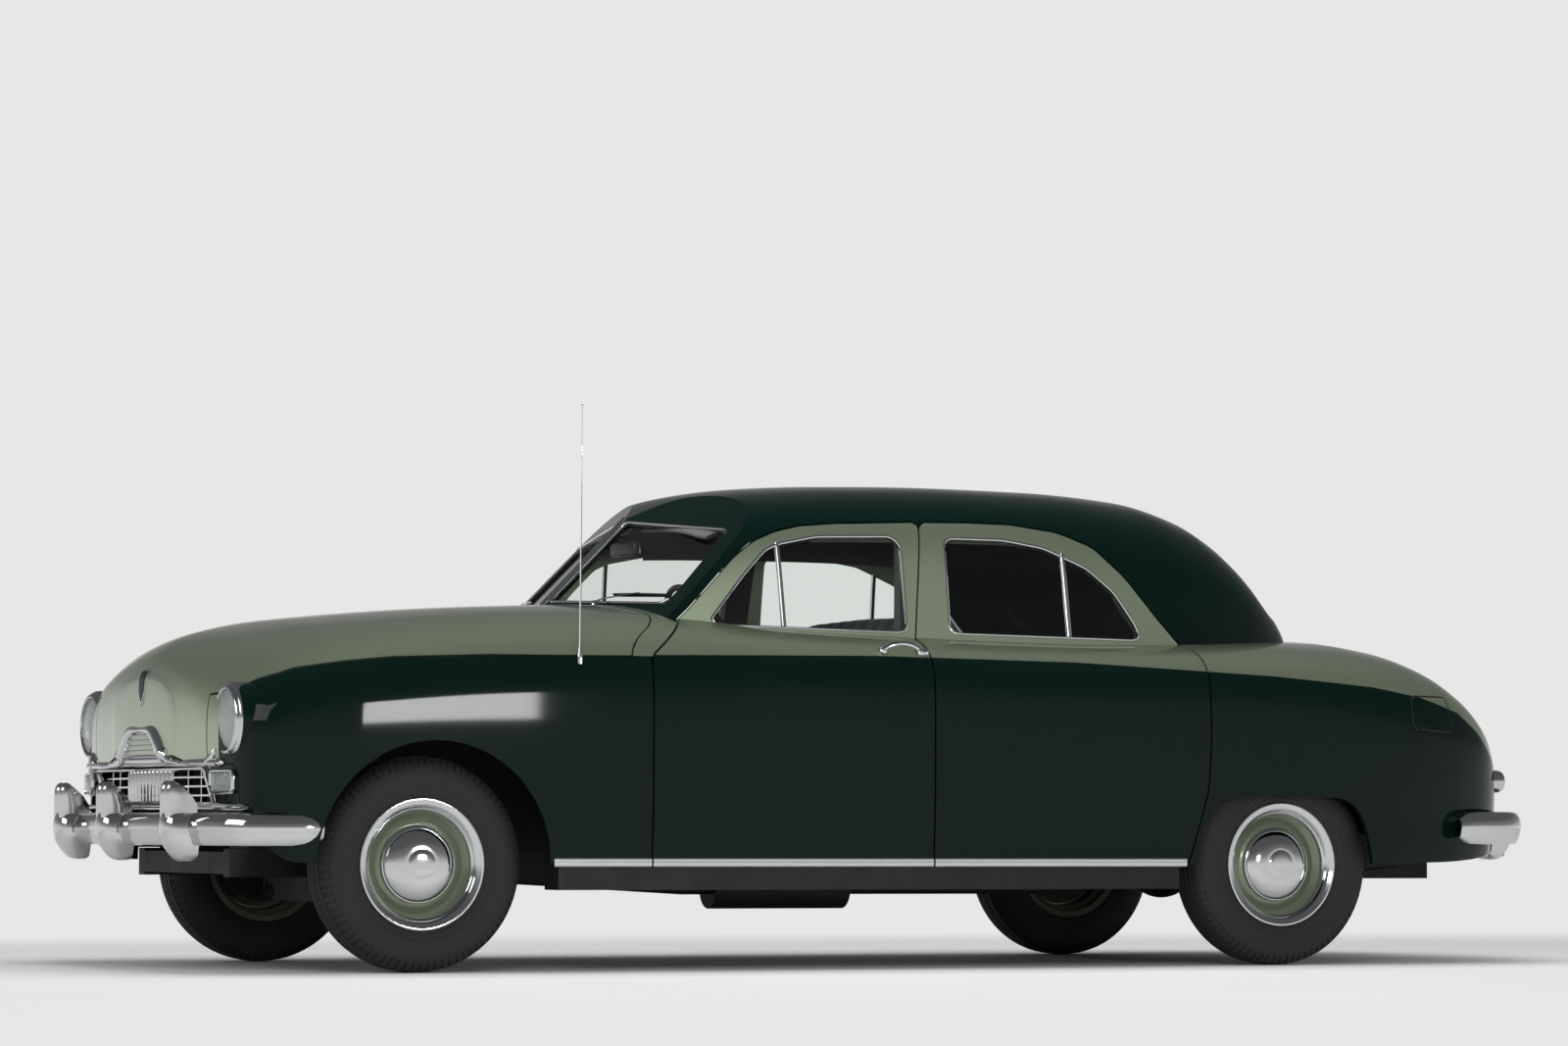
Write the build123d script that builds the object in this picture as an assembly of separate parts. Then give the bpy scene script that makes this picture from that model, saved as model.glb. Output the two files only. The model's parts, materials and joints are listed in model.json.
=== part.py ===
from build123d import *
import math
import os

os.makedirs("parts", exist_ok=True)

# Driving dimensions in millimetres, X forward, Y left, Z up, ground at Z 0
WHEELBASE = 3137.0
FRONT_AXLE_X = 1785.0
FRONT_TRACK = 1473.0
REAR_TRACK = 1524.0
TYRE_RADIUS = 344.0
ROOF_HEIGHT = 1641.0
SKIN = 22.0
DOOR_THICKNESS = 60.0
FRAME_THICKNESS = 24.0
GAP = 6.0
REAR_AXLE = -WHEELBASE
KINGPIN_Y = 676.0
BELT_BASE = 1050.0
FAR = 1200.0

# Body sections, stations counted from the front axle
# x, half width, height of widest, top, side exponent, top exponent, bottom, half bottom
BODY = [
    (660, 330, 800, 948, 2.2, 2.2, 690, 300),
    (640, 560, 780, 994, 1.8, 2.1, 640, 520),
    (600, 780, 760, 1037, 1.5, 2.2, 520, 740),
    (540, 868, 740, 1073, 1.45, 3.0, 400, 845),
    (450, 905, 710, 1104, 1.5, 4.6, 350, 890),
    (250, 927, 660, 1142, 2.2, 6.0, 345, 915),
    (-400, 929, 640, 1193, 3.0, 6.6, 345, 917),
    (-800, 929, 640, 1206, 3.0, 6.4, 345, 917),
    (-1300, 929, 640, 1160, 3.0, 8.5, 345, 917),
    (-2700, 929, 640, 1130, 3.0, 8.5, 345, 917),
    (-3137, 925, 640, 1131, 3.0, 7.6, 345, 912),
    (-3450, 910, 630, 1131, 2.8, 6.2, 345, 893),
    (-3650, 888, 625, 1114, 2.6, 5.4, 348, 860),
    (-3820, 850, 620, 1072, 2.5, 4.8, 352, 815),
    (-3950, 800, 615, 1014, 2.4, 4.2, 360, 760),
    (-4050, 735, 605, 948, 2.4, 3.7, 372, 695),
    (-4130, 640, 595, 873, 2.4, 3.2, 388, 605),
    (-4190, 520, 585, 792, 2.4, 3.0, 400, 490),
    (-4245, 260, 570, 690, 2.4, 2.6, 420, 245),
]
# Cabin roof sections: x, half width at the belt, lean inwards, top, side exponent, top exponent
CABIN = [
    (-700, 742, 0.14, 1290, 2.2, 9.0),
    (-1045, 762, 0.14, 1510, 2.2, 9.0),
    (-1202, 770, 0.14, 1590, 2.2, 9.0),
    (-1349, 775, 0.14, 1614, 2.2, 9.0),
    (-1650, 778, 0.14, 1633, 2.2, 9.0),
    (-2025, 778, 0.14, ROOF_HEIGHT, 2.2, 9.0),
    (-2410, 775, 0.14, 1638, 2.2, 8.0),
    (-2770, 748, 0.14, 1620, 2.2, 5.4),
    (-2980, 700, 0.14, 1577, 2.2, 4.0),
    (-3085, 662, 0.14, 1532, 2.2, 3.5),
    (-3190, 612, 0.13, 1464, 2.2, 3.1),
    (-3280, 556, 0.12, 1385, 2.2, 2.8),
    (-3370, 480, 0.10, 1285, 2.2, 2.5),
    (-3450, 360, 0.06, 1180, 2.2, 2.2),
]
ARC_ANGLES = (16, 26, 38, 52, 68, 79, 90)


def mirrored(shape):
    return mirror(shape, about=Plane.XZ)


def both(shape):
    return [shape, mirrored(shape)]


def box(x0, x1, y0, y1, z0, z1):
    size = (x1 - x0, y1 - y0, z1 - z0)
    return Pos((x0 + x1) / 2, (y0 + y1) / 2, (z0 + z1) / 2) * Box(*size)


def rod(start, end, radius):
    axis = Vector(*end) - Vector(*start)
    return Solid.make_cylinder(radius, axis.length, Plane(origin=start, z_dir=axis))


def side_face(points, y, grow=0.0):
    # A closed outline in side view, points as (x, z)
    wire = Wire.make_polygon([(x, y, z) for x, z in points], close=True)
    if grow:
        wire = wire.offset_2d(grow, Kind.INTERSECTION)
    return Face(wire)


def slab(points, y0, y1, grow=0.0, slant=0.0, slant_y=0.0):
    # A side outline pushed across the car, leaning by slant from the plane slant_y
    shift = slant * (y0 - slant_y)
    face = side_face([(x + shift, z) for x, z in points], y0, grow)
    return Solid.extrude(face, Vector(slant * (y1 - y0), y1 - y0, 0))


def section_wire(x, half):
    # Arcs through the half section's points, mirrored and closed along the bottom
    left = [(x, y, z) for y, z in half]
    right = [(x, -y, z) for y, z in half][::-1]
    edges = []
    for side in (left, right):
        for i in range(0, len(side) - 2, 2):
            edges.append(Edge.make_three_point_arc(side[i], side[i + 1], side[i + 2]))
    edges.append(Edge.make_line(right[-1], left[0]))
    return Wire(edges)


def body_wire(row, inset):
    x, wide, z_wide, top, p, q, bottom, half_bottom = row
    if x > 400:
        x -= inset
    if x < -4000:
        x += inset
    wide -= inset
    half_bottom -= inset
    top -= inset
    if inset:
        bottom -= 2 * SKIN
    half = [(half_bottom, bottom), (wide, z_wide)]
    for angle in ARC_ANGLES:
        a = math.radians(angle)
        y = wide * max(math.cos(a), 0.0) ** (2 / p) if angle < 90 else 0.0
        half.append((y, z_wide + (top - z_wide) * math.sin(a) ** (2 / q)))
    return section_wire(x, half)


def cabin_wire(row, inset, base):
    x, wide, lean, top, p, q = row
    top -= inset
    mid = BELT_BASE + (top - BELT_BASE) * 0.35
    half = [(wide - inset - lean * (z - BELT_BASE), z) for z in (base, mid)]
    for angle in ARC_ANGLES:
        a = math.radians(angle)
        z = BELT_BASE + (top - BELT_BASE) * math.sin(a) ** (2 / q)
        y = (wide - inset - lean * (z - BELT_BASE)) * math.cos(a) ** (2 / p) if angle < 90 else 0.0
        half.append((y, z))
    return section_wire(x, half)


def body_loft(inset, first, last):
    return Solid.make_loft([body_wire(row, inset) for row in BODY[first:last]])


def cabin_loft(inset, base):
    rows = [row if row[0] > -3000 else (row[0] + inset,) + row[1:] for row in CABIN]
    return Solid.make_loft([cabin_wire(row, inset, base) for row in rows])


# Panel outlines in side view, (x, z)
FRONT_DOOR = [
    (-753, 330), (-753, 1012), (-895, 1123), (-945, 1164), (-1026, 1246), (-1122, 1346),
    (-1197, 1403), (-1279, 1438), (-1370, 1459), (-1500, 1471), (-1812, 1484), (-1762, 1060), (-1762, 330),
]
REAR_DOOR = [
    (-1768, 330), (-1768, 1060), (-1818, 1484), (-2000, 1487), (-2162, 1485), (-2339, 1463), (-2468, 1416),
    (-2586, 1315), (-2706, 1177), (-2805, 1076), (-2810, 760), (-2800, 600), (-2772, 500), (-2722, 330),
]
FRONT_WINDOW = [
    (-1029, 1143), (-1155, 1294), (-1236, 1378), (-1287, 1400), (-1426, 1428), (-1703, 1436),
    (-1737, 1403), (-1741, 1124), (-1715, 1112), (-1040, 1126),
]
REAR_WINDOW = [
    (-1900, 1424), (-1924, 1435), (-2124, 1434), (-2276, 1411), (-2436, 1346), (-2538, 1267),
    (-2616, 1158), (-2632, 1116), (-2610, 1102), (-1927, 1112), (-1899, 1123),
]
FRONT_BAR = [(-1274, 1440), (-1292, 1440), (-1299, 1090), (-1281, 1090)]
REAR_BAR = [(-2340, 1440), (-2358, 1440), (-2364, 1080), (-2346, 1080)]
REAR_ARCH = [
    (-2744, 250), (-2786, 482), (-2812, 532), (-2860, 562), (-2935, 572), (-3330, 572), (-3385, 548),
    (-3425, 500), (-3467, 380), (-3480, 250),
]
FENDER_TOP = [
    (700, 860), (596, 892), (540, 927), (442, 963), (290, 985), (138, 1000), (-191, 1012), (-528, 1014),
    (-900, 1018), (-900, 1400), (700, 1400),
]
# Hood plan, (x, y): its rear line and its front corner
HOOD_PLAN = [(-722, 0), (-812, 560), (-818, 740), (-779, 817), (-672, 905), (-660, 950), (800, 950)]
RAIL = [
    (520, 300), (520, 390), (-2620, 390), (-2800, 498), (-3400, 498), (-3620, 448), (-4120, 448),
    (-4120, 370), (-3650, 370), (-3420, 420), (-2780, 420), (-2600, 300),
]
ARCH_RADIUS = 392
NOSE_HALF = 566
NOSE_BOTTOM = 664
PANEL_HALF = 762
PANEL_TOP = 657
GRILLE_HALF = 552
GRILLE_LOW = 532
GRILLE_HIGH = 648
MOULDING = 6
HEAD = (600, 694, 797)
RIM_RADIUS = 122
ARM_LOW = 430
TAIL_LAMP = (-4150, 640, 634)
TAIL_RADIUS = 40
COWL_Z = 1014
MID_FRONT = -750
MID_REAR = -2816
COWL_REAR = -830
TRUNK_FRONT = -3650
TRUNK_HALF = 560
TRUNK_BOTTOM = 618
DECK_HALF = 580
FRAME_SLANT = -0.25
FRAME_Y = 720
SCREEN_X = -743
SCREEN_Z = 1210
SCREEN_RAKE = 1.0067
SCREEN_SWEEP = -0.27
FLOOR_Z = 392
PARTS = {}


def screen_x(z):
    return SCREEN_X - (z - SCREEN_Z) * SCREEN_RAKE


def screen_half(front, back):
    # A slab parallel to the left windscreen pane, front and back are offsets along X
    low, high = 1000, 1700
    points = [
        (screen_x(low) + front, low), (screen_x(high) + front, high),
        (screen_x(high) + back, high), (screen_x(low) + back, low),
    ]
    return slab(points, 0, 1000, slant=SCREEN_SWEEP)


def cross_prism(points, x0, x1):
    # An outline in front view, (y, z), pushed along the car
    wire = Wire.make_polygon([(x0, y, z) for y, z in points], close=True)
    return Solid.extrude(Face(wire), Vector(x1 - x0, 0, 0))


def spun(points, centre):
    # A closed profile (distance outwards along Y, radius) turned about a Y axis through centre
    x, y, z = centre
    wire = Wire.make_polygon([(x, y + a, z + r) for a, r in points], close=True)
    return Solid.revolve(Face(wire), 360, Axis((x, 0, z), (0, 1, 0)))


def turned(points, centre):
    # A closed profile (x, radius) turned about an X axis through centre
    x, y, z = centre
    wire = Wire.make_polygon([(x + a, y, z + r) for a, r in points], close=True)
    return Solid.revolve(Face(wire), 360, Axis((0, y, z), (1, 0, 0)))


def largest(shape):
    return max(shape.solids(), key=lambda solid: solid.volume)


def keep(name, *shapes):
    solids = []
    for shape in shapes:
        solids += list(shape.solids())
    PARTS[name] = solids


def keep_sides(name, *shapes):
    keep(name + "_left", *shapes)
    keep(name + "_right", *[mirrored(shape) for shape in shapes])


# Shells of the body and the cabin roof
outer = body_loft(0, 0, len(BODY))
proud_nose = body_loft(-MOULDING, 0, 6)
proud_tail = body_loft(-MOULDING, 12, len(BODY))
inner = body_loft(SKIN, 0, len(BODY))
inner_cabin = body_loft(DOOR_THICKNESS, 6, 12)
roof_outer = cabin_loft(0, 1000)
roof_inner = cabin_loft(FRAME_THICKNESS, 900)
for cut in both(screen_half(800, 0)):
    roof_outer = roof_outer - cut
for cut in both(screen_half(800, -FRAME_THICKNESS * 1.42)):
    roof_inner = roof_inner - cut
FRONT_ZONE = [
    (800, 0), (800, 2000), (COWL_REAR, 2000), (COWL_REAR, 1005), (MID_FRONT, 1005), (MID_FRONT, 0),
]
front_zone = slab(FRONT_ZONE, -FAR, FAR)
mid_zone = box(MID_REAR, 0, -FAR, FAR, 0, 2000) - front_zone
front_shell = (outer & front_zone) - inner
mid_shell = (outer & mid_zone) - inner_cabin - roof_inner
rear_shell = (outer & box(-4600, MID_REAR, -FAR, FAR, 0, 2000)) - inner - roof_inner
roof_shell = roof_outer - roof_inner - outer

# Doors with handle, sill strip and division bar, and their glass
glass_skins = (cabin_loft(9, 1000), cabin_loft(15, 900))
bar_skins = (cabin_loft(3, 1000), cabin_loft(21, 900))


def layer(skins, zone):
    # The part of a thin layer with the roof's shape that lies in a zone
    return (skins[0] & zone) - skins[1]


# name, outline, window, division bar, handle place along X
DOORS = [
    ("front", FRONT_DOOR, FRONT_WINDOW, FRONT_BAR, -1660),
    ("rear", REAR_DOOR, REAR_WINDOW, REAR_BAR, None),
]
# Hinge line of each door, (x, y), and how far the belt's rear end may reach from it
HINGES = {"front": (-750, 931, 1011), "rear": (-1765, 931, 1040)}
STRIP = (900, 929.5, 337, 366)
HANDLE_Z, HANDLE_HALF = 1062, 72
for place, outline, window, bar, handle_x in DOORS:
    flat = slab(outline, 500, 1000)
    slanted = slab(outline, 500, 1000, slant=FRAME_SLANT, slant_y=FRAME_Y)
    opening = slab(window, 500, 1000)
    door = largest(((mid_shell & flat) + (front_shell & flat) + (roof_shell & slanted)) - opening)
    bar_zone = slab(bar, 500, 1000)
    glass = layer(glass_skins, opening - bar_zone)
    rail = layer(bar_skins, opening & bar_zone)
    low_edge = [x for x, z in outline if z < 400]
    strip = box(min(low_edge), max(low_edge), *STRIP)
    if handle_x:
        # A bowed pull on two feet
        tips = [(handle_x - HANDLE_HALF, 897, HANDLE_Z - 6), (handle_x + HANDLE_HALF, 897, HANDLE_Z - 10)]
        bow = Edge.make_three_point_arc(tips[0], (handle_x, 904, HANDLE_Z + 14), tips[1])
        handle = sweep(Plane(origin=tips[0], z_dir=bow % 0) * Ellipse(9, 7), path=bow)
        for x, y, z in tips:
            handle = handle + rod((x, 850, z), (x, y + 6, z), 9)
        door = door + largest(handle - outer)
    hinge_x, hinge_y, reach = HINGES[place]
    sweep_room = box(hinge_x - 1100, hinge_x - 950, 500, 1000, 1000, 1200)
    sweep_room = sweep_room - rod((hinge_x, hinge_y, 900), (hinge_x, hinge_y, 1300), reach)
    keep_sides(f"door_{place}", largest(door - sweep_room) + rail + strip)
    keep_sides(f"glass_{place}", glass)
door_cuts = []
for place, outline, window, bar, handle_x in DOORS:
    door_cuts += both(slab(outline, 500, 1000, grow=GAP))
    for cut in both(slab(outline, 500, 1000, grow=GAP, slant=FRAME_SLANT, slant_y=FRAME_Y)):
        roof_shell = roof_shell - cut

# Roof with pillars, windscreen and rear window
screen_hole = cross_prism([(24, 1222), (655, 1194), (628, 1444), (26, 1498)], -1270, -600)
rear_half = [(470, 1190), (500, 1240), (450, 1420), (390, 1446)]
rear_hole = cross_prism(rear_half + [(-y, z) for y, z in rear_half[::-1]], -3700, -2950)
for cut in both(screen_hole):
    roof_shell = roof_shell - cut
roof_shell = roof_shell - rear_hole
keep("roof", largest(roof_shell))
screen_glass = screen_half(-12, -20.5) & screen_hole
keep("fixed_glass", screen_glass, mirrored(screen_glass), layer(glass_skins, rear_hole))


# Hood, cowl, front fenders and the panel round the grille
def hood_zone(grow):
    plan = HOOD_PLAN + [(x, -y) for x, y in HOOD_PLAN[:0:-1]]
    plan_wire = Wire.make_polygon([(x, y, 500) for x, y in plan], close=True)
    if grow:
        plan_wire = plan_wire.offset_2d(grow, Kind.INTERSECTION)
    column = Solid.extrude(Face(plan_wire), Vector(0, 0, 900))
    nose = box(420, 790, -NOSE_HALF - grow, NOSE_HALF + grow, NOSE_BOTTOM - grow, 1100)
    return (slab(FENDER_TOP, -FAR, FAR, grow=grow) + nose) & column


def lamp_bores(radius):
    x, y, z = HEAD
    return both(rod((x - 140, y, z), (x + 160, y, z), radius))


hood = front_shell & hood_zone(0)
for bore in lamp_bores(RIM_RADIUS + GAP):
    hood = hood - bore
keep("hood", largest(hood))

# Crown moulding on the nose and the bands above and below the grille, (y, z) and x
CROWN_OUT = [
    (-272, NOSE_BOTTOM), (-268, 690), (-213, 716), (-165, 756), (-112, 775), (0, 784),
    (112, 775), (165, 756), (213, 716), (268, 690), (272, NOSE_BOTTOM),
]
CROWN_IN = [(188, NOSE_BOTTOM), (182, 690), (158, 722), (108, 749), (0, 765)]
crown_line = CROWN_OUT + CROWN_IN + [(-y, z) for y, z in CROWN_IN[-2::-1]]
keep("hood_crown", largest((proud_nose & cross_prism(crown_line, 560, 760)) - outer))
upper_band = largest((proud_nose & box(560, 760, -690, 690, PANEL_TOP - 14, PANEL_TOP)) - outer)
lower_band = largest((proud_nose & box(430, 760, -820, 820, 508, 530)) - outer)
hood_hole = hood_zone(GAP)
front_rest = front_shell - hood_hole
mid_rest = mid_shell - hood_hole
for cut in door_cuts:
    front_rest = front_rest - cut
    mid_rest = mid_rest - cut
cowl_zone = box(-1200, -600, -FAR, FAR, COWL_Z, 1400)
firewall = box(-812, -800, -840, 840, FLOOR_Z + 12, 1250) & inner
firewall = firewall - box(-900, -700, -150, 150, 0, 516) - slab(FRONT_DOOR, 690, 1000, grow=GAP)
firewall = firewall - mirrored(slab(FRONT_DOOR, 690, 1000, grow=GAP))
cowl = (front_rest & cowl_zone) + (mid_rest & cowl_zone) + firewall
keep("cowl", largest(cowl))
front_rest = front_rest - cowl_zone
ARCH_X = -5
for low, high in ((470, 1000), (-1000, -470)):
    front_rest = front_rest - rod((ARCH_X, low, TYRE_RADIUS), (ARCH_X, high, TYRE_RADIUS), ARCH_RADIUS)
for bore in lamp_bores(RIM_RADIUS + 0.2):
    front_rest = front_rest - bore
panel_zone = box(380, 800, -PANEL_HALF, PANEL_HALF, 300, PANEL_TOP)
grille_hole = box(380, 800, -GRILLE_HALF, GRILLE_HALF, GRILLE_LOW, GRILLE_HIGH)
panel = (front_rest & panel_zone) - grille_hole
# Parking lamp seen from above, (x, y), its height, and the bumper's arms through the panel
PARK = [(560, 606), (640, 606), (650, 618), (640, 700), (628, 742), (614, 752), (560, 752)]
PARK_Z = (565, 637)
park_face = Face(Wire.make_polygon([(x, y, PARK_Z[0]) for x, y in PARK], close=True))
park = Solid.extrude(park_face, Vector(0, 0, PARK_Z[1] - PARK_Z[0]))
front_arm = box(480, 700, 405, 455, ARM_LOW, ARM_LOW + 40)
for cut in both(park) + both(box(380, 720, 399, 461, ARM_LOW - 6, ARM_LOW + 46)):
    panel = panel - cut
keep("front_panel", largest(panel))
fender = (largest(front_rest) - panel_zone) & box(-900, 800, 300, FAR, 0, 1400)
fender = largest(fender + box(-747, -408, *STRIP))
keep_sides("front_fender", fender)

# Trunk lid, rear quarters and the deck around the lid
trunk_zone = box(-4600, TRUNK_FRONT, -TRUNK_HALF, TRUNK_HALF, TRUNK_BOTTOM, 1400)
trunk_hole = box(-4600, TRUNK_FRONT + GAP, -TRUNK_HALF - GAP, TRUNK_HALF + GAP, TRUNK_BOTTOM - GAP, 1400)
keep("trunk_lid", largest(rear_shell & trunk_zone))
rear_rest = rear_shell - trunk_hole
deck_zone = box(-4600, MID_REAR, -DECK_HALF, DECK_HALF, 0, 1400)
rear_arm_low = box(-4290, -4120, 405, 455, 368, 396)
deck = rear_rest & deck_zone
for cut in both(box(-4300, -4090, 399, 461, 300, 404)):
    deck = deck - cut
keep("rear_deck", largest(deck))
quarter = (rear_rest - deck_zone) & box(-4600, MID_REAR, 0, FAR, 0, 1400)
quarter = quarter + (mid_rest & box(MID_REAR, -2600, 0, FAR, 0, 1400))
tail_x, tail_y, tail_z = TAIL_LAMP
tail_bore = rod((-4000, tail_y, tail_z), (-4300, tail_y, tail_z), TAIL_RADIUS + 0.2)
quarter = largest(quarter - slab(REAR_ARCH, 600, 1000) - tail_bore)
keep_sides("rear_quarter", quarter)

# Wheels: tyre, pressed steel wheel with drum, chrome ring and cap
TYRE = [
    (-62, 192), (-66, 207), (-73, 209), (-79, 216), (-87, 255), (-84, 295), (-70, 328),
    (-52, 342), (-30, 344), (30, 344), (52, 342),
    (70, 328), (84, 295), (87, 255), (79, 216), (73, 209), (66, 207), (62, 192),
]
STEEL = [
    (-66, 206), (-62, 190), (-40, 190), (-30, 172), (0, 172), (10, 168), (22, 120), (32, 100),
    (34, 30), (8, 30), (8, 130), (-42, 130), (-42, 140), (6, 140), (4, 160), (-34, 164),
    (-46, 182), (-70, 184), (-72, 206),
]
RIM_OUT = [
    (12, 168), (34, 186), (62, 190), (66, 206), (72, 206), (72, 184), (44, 176), (26, 158),
    (24, 122), (22, 120),
]
RING = [(73, 206), (76, 211), (80, 208), (80, 196), (70, 178), (58, 172), (56, 174), (66, 182), (73, 192)]
CAP = [
    (34, 124), (42, 126), (56, 112), (70, 84), (78, 50), (81, 0), (76, 0), (73, 48), (65, 80),
    (52, 106), (34, 118),
]
AXLES = [("front", 0.0, FRONT_TRACK / 2), ("rear", REAR_AXLE, REAR_TRACK / 2)]
for place, x, y in AXLES:
    centre = (x, y, TYRE_RADIUS)
    keep_sides(f"tyre_{place}", spun(TYRE, centre))
    disc = spun(STEEL, centre) + spun(RIM_OUT, centre)
    keep_sides(f"wheel_{place}", disc, spun(RING, centre), spun(CAP, centre))

# Steering knuckles, front suspension, rear axle and springs
PLATE_Y = FRONT_TRACK / 2 - 54
knuckle = rod((0, KINGPIN_Y - 16, 230), (0, KINGPIN_Y - 16, 455), 12)
knuckle = knuckle + rod((0, KINGPIN_Y - 16, TYRE_RADIUS), (0, PLATE_Y, TYRE_RADIUS), 22)
knuckle = knuckle + rod((0, PLATE_Y, TYRE_RADIUS), (0, PLATE_Y + 5, TYRE_RADIUS), 138)
keep_sides("knuckle", knuckle)
ARM_END = KINGPIN_Y - 34
beam = box(-70, 70, -400, 400, 215, 300)
arms = []
for s in (1, -1):
    for x, y, z, z_end, radius in ((60, 380, 245, 238, 20), (50, 430, 450, 448, 15)):
        outer_end = (0, s * ARM_END, z_end)
        arms.append(rod((x, s * y, z), outer_end, radius) + rod((-x, s * y, z), outer_end, radius))
    arms.append(box(-60, 60, min(s * 396, s * 464), max(s * 396, s * 464), 390, 470))
    arms.append(rod((0, s * 520, 266), (0, s * 520, 400), 45))
keep("front_suspension", beam, *arms)
DRUM_Y = REAR_TRACK / 2 - 54
axle = rod((REAR_AXLE, -DRUM_Y, TYRE_RADIUS), (REAR_AXLE, DRUM_Y, TYRE_RADIUS), 38)
axle = axle + Pos(REAR_AXLE, 0, TYRE_RADIUS) * Sphere(125)
axle = axle + rod((REAR_AXLE, 0, TYRE_RADIUS), (REAR_AXLE + 150, 0, TYRE_RADIUS), 48)
for s in (1, -1):
    axle = axle + rod((REAR_AXLE, s * DRUM_Y, TYRE_RADIUS), (REAR_AXLE, s * (DRUM_Y + 5), TYRE_RADIUS), 138)
leaf_low = [(640, 322), (300, 290), (0, 276), (-300, 290), (-640, 322)]
leaf_high = [(-640, 334), (-300, 304), (0, 306), (300, 304), (640, 334)]
leaf = [(REAR_AXLE + x, z) for x, z in leaf_low + leaf_high]
for s in (1, -1):
    spring = slab(leaf, min(s * 530, s * 590), max(s * 530, s * 590))
    seat = box(REAR_AXLE - 60, REAR_AXLE + 60, min(s * 535, s * 585), max(s * 535, s * 585), 290, 330)
    axle = axle + spring + seat
keep("rear_axle", axle)

# Chassis frame, floor, driveline and tank
rails = slab(RAIL, 400, 460)
frame = rails + mirrored(rails)
for x, z0, z1 in ((480, 310, 380), (-4075, 380, 440)):
    frame = frame + box(x - 40, x + 40, -405, 405, z0, z1)
# Crossmembers that dip under the shaft, seen from the front, (y, z)
DIP = [(405, 375), (95, 375), (72, 298), (0, 298), (0, 258), (88, 258), (108, 305), (405, 305)]
for x in (-1200, -2450):
    half = cross_prism(DIP, x - 35, x + 35)
    frame = frame + (half + mirrored(half))
keep("frame", frame)
rocker = box(-2700, -430, 790, 848, 262, FLOOR_Z) + box(-2700, -430, 846, 905, 262, 336)
floor = box(-2620, -812, -800, 800, FLOOR_Z, FLOOR_Z + 12)
floor = floor + box(-2632, -2620, -800, 800, FLOOR_Z, 512)
floor = floor + box(-3500, -2632, -625, 625, 500, 512)
floor = floor + box(-3512, -3500, -625, 625, 450, 512)
TRUNK_PLAN = [(-3500, 800), (-3820, 792), (-3950, 742), (-4050, 672), (-4130, 575)]
trunk_plan = TRUNK_PLAN + [(x, -y) for x, y in TRUNK_PLAN[::-1]]
trunk_face = Face(Wire.make_polygon([(x, y, 450) for x, y in trunk_plan], close=True))
floor = floor + Solid.extrude(trunk_face, Vector(0, 0, 12))
tunnel = box(-1250, -812, -150, 150, FLOOR_Z, 510)
floor = (floor + tunnel) - box(-1238, -800, -138, 138, FLOOR_Z - 20, 498)
for s in (1, -1):
    floor = floor + (rocker if s > 0 else mirrored(rocker))
    house = rod((REAR_AXLE, s * 625, TYRE_RADIUS), (REAR_AXLE, s * 862, TYRE_RADIUS), 405)
    house = house - rod((REAR_AXLE, s * 637, TYRE_RADIUS), (REAR_AXLE, s * 915, TYRE_RADIUS), 393)
    floor = floor + (house & box(-3600, -2700, -FAR, FAR, 450, 900))
floor = largest(floor) - frame
aprons = []
for s in (1, -1):
    low, high = min(s * 462, s * 472), max(s * 462, s * 472)
    aprons.append(box(-796, 520, low, high, 392, 930) - box(-95, 95, low, high, 392, 482))
keep("floor", largest(floor), *aprons)
keep("engine", box(-620, 160, -210, 210, 400, 900), box(430, 480, -320, 320, 400, 880))
shaft = rod((-620, 0, 385), (-1080, 0, 368), 95) + rod((-1080, 0, 352), (REAR_AXLE + 153, 0, 346), 36)
shaft = shaft - box(-620, 200, -300, 300, 0, 1000)
pipe = rod((-500, 250, 300), (-1150, 250, 262), 24) + rod((-1250, 250, 262), (-1750, 250, 262), 72)
pipe = pipe + rod((-1150, 250, 262), (-1250, 250, 262), 24)
pipe = pipe + rod((-1750, 250, 262), (-2560, 300, 262), 24)
keep("driveline", shaft, pipe)
keep("fuel_tank", box(-4024, -3560, -360, 360, 290, 448))

# Seats, dashboard, steering wheel
FRONT_SEAT = [
    (-1330, 404), (-1330, 640), (-1400, 668), (-1790, 640),
    (-1890, 1160), (-1965, 1185), (-2015, 1140), (-1930, 404),
]
REAR_SEAT = [
    (-2400, 512), (-2400, 660), (-2460, 690), (-2830, 660),
    (-2950, 1060), (-3040, 1080), (-3080, 1040), (-3000, 512),
]
keep("seats", slab(FRONT_SEAT, -690, 690), slab(REAR_SEAT, -615, 615))
dash = slab([(-870, 1118), (-870, 960), (-960, 900), (-1010, 930), (-1020, 1060), (-960, 1128)], -690, 690)
STEER_CENTRE = (-1180, 370, 1077)
column_dir = Vector(math.cos(math.radians(28)), 0, -math.sin(math.radians(28)))
centre = Vector(*STEER_CENTRE)
wheel_plane = Plane(origin=centre, z_dir=column_dir)
steering = rod((0, 0, 10), (0, 0, 60), 28)
for angle in (80, 200, 320):
    a = math.radians(angle)
    start = (12 * math.cos(a), 12 * math.sin(a), 36)
    steering = steering + rod(start, (208 * math.cos(a), 208 * math.sin(a), 0), 8)
rim_section = []
for k in range(12):
    a = math.radians(30 * k + 15)
    rim_section.append((212 + 11 * math.cos(a), 0, 11 * math.sin(a)))
steering = steering + Solid.revolve(Face(Wire.make_polygon(rim_section, close=True)), 360, Axis.Z)
keep("steering_wheel", wheel_plane * steering)
column = rod(tuple(centre + column_dir * 66), tuple(centre + column_dir * 396), 22)
keep("dashboard", dash - box(-1100, -800, -FAR, FAR, 1129, 1400) + column)

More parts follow.
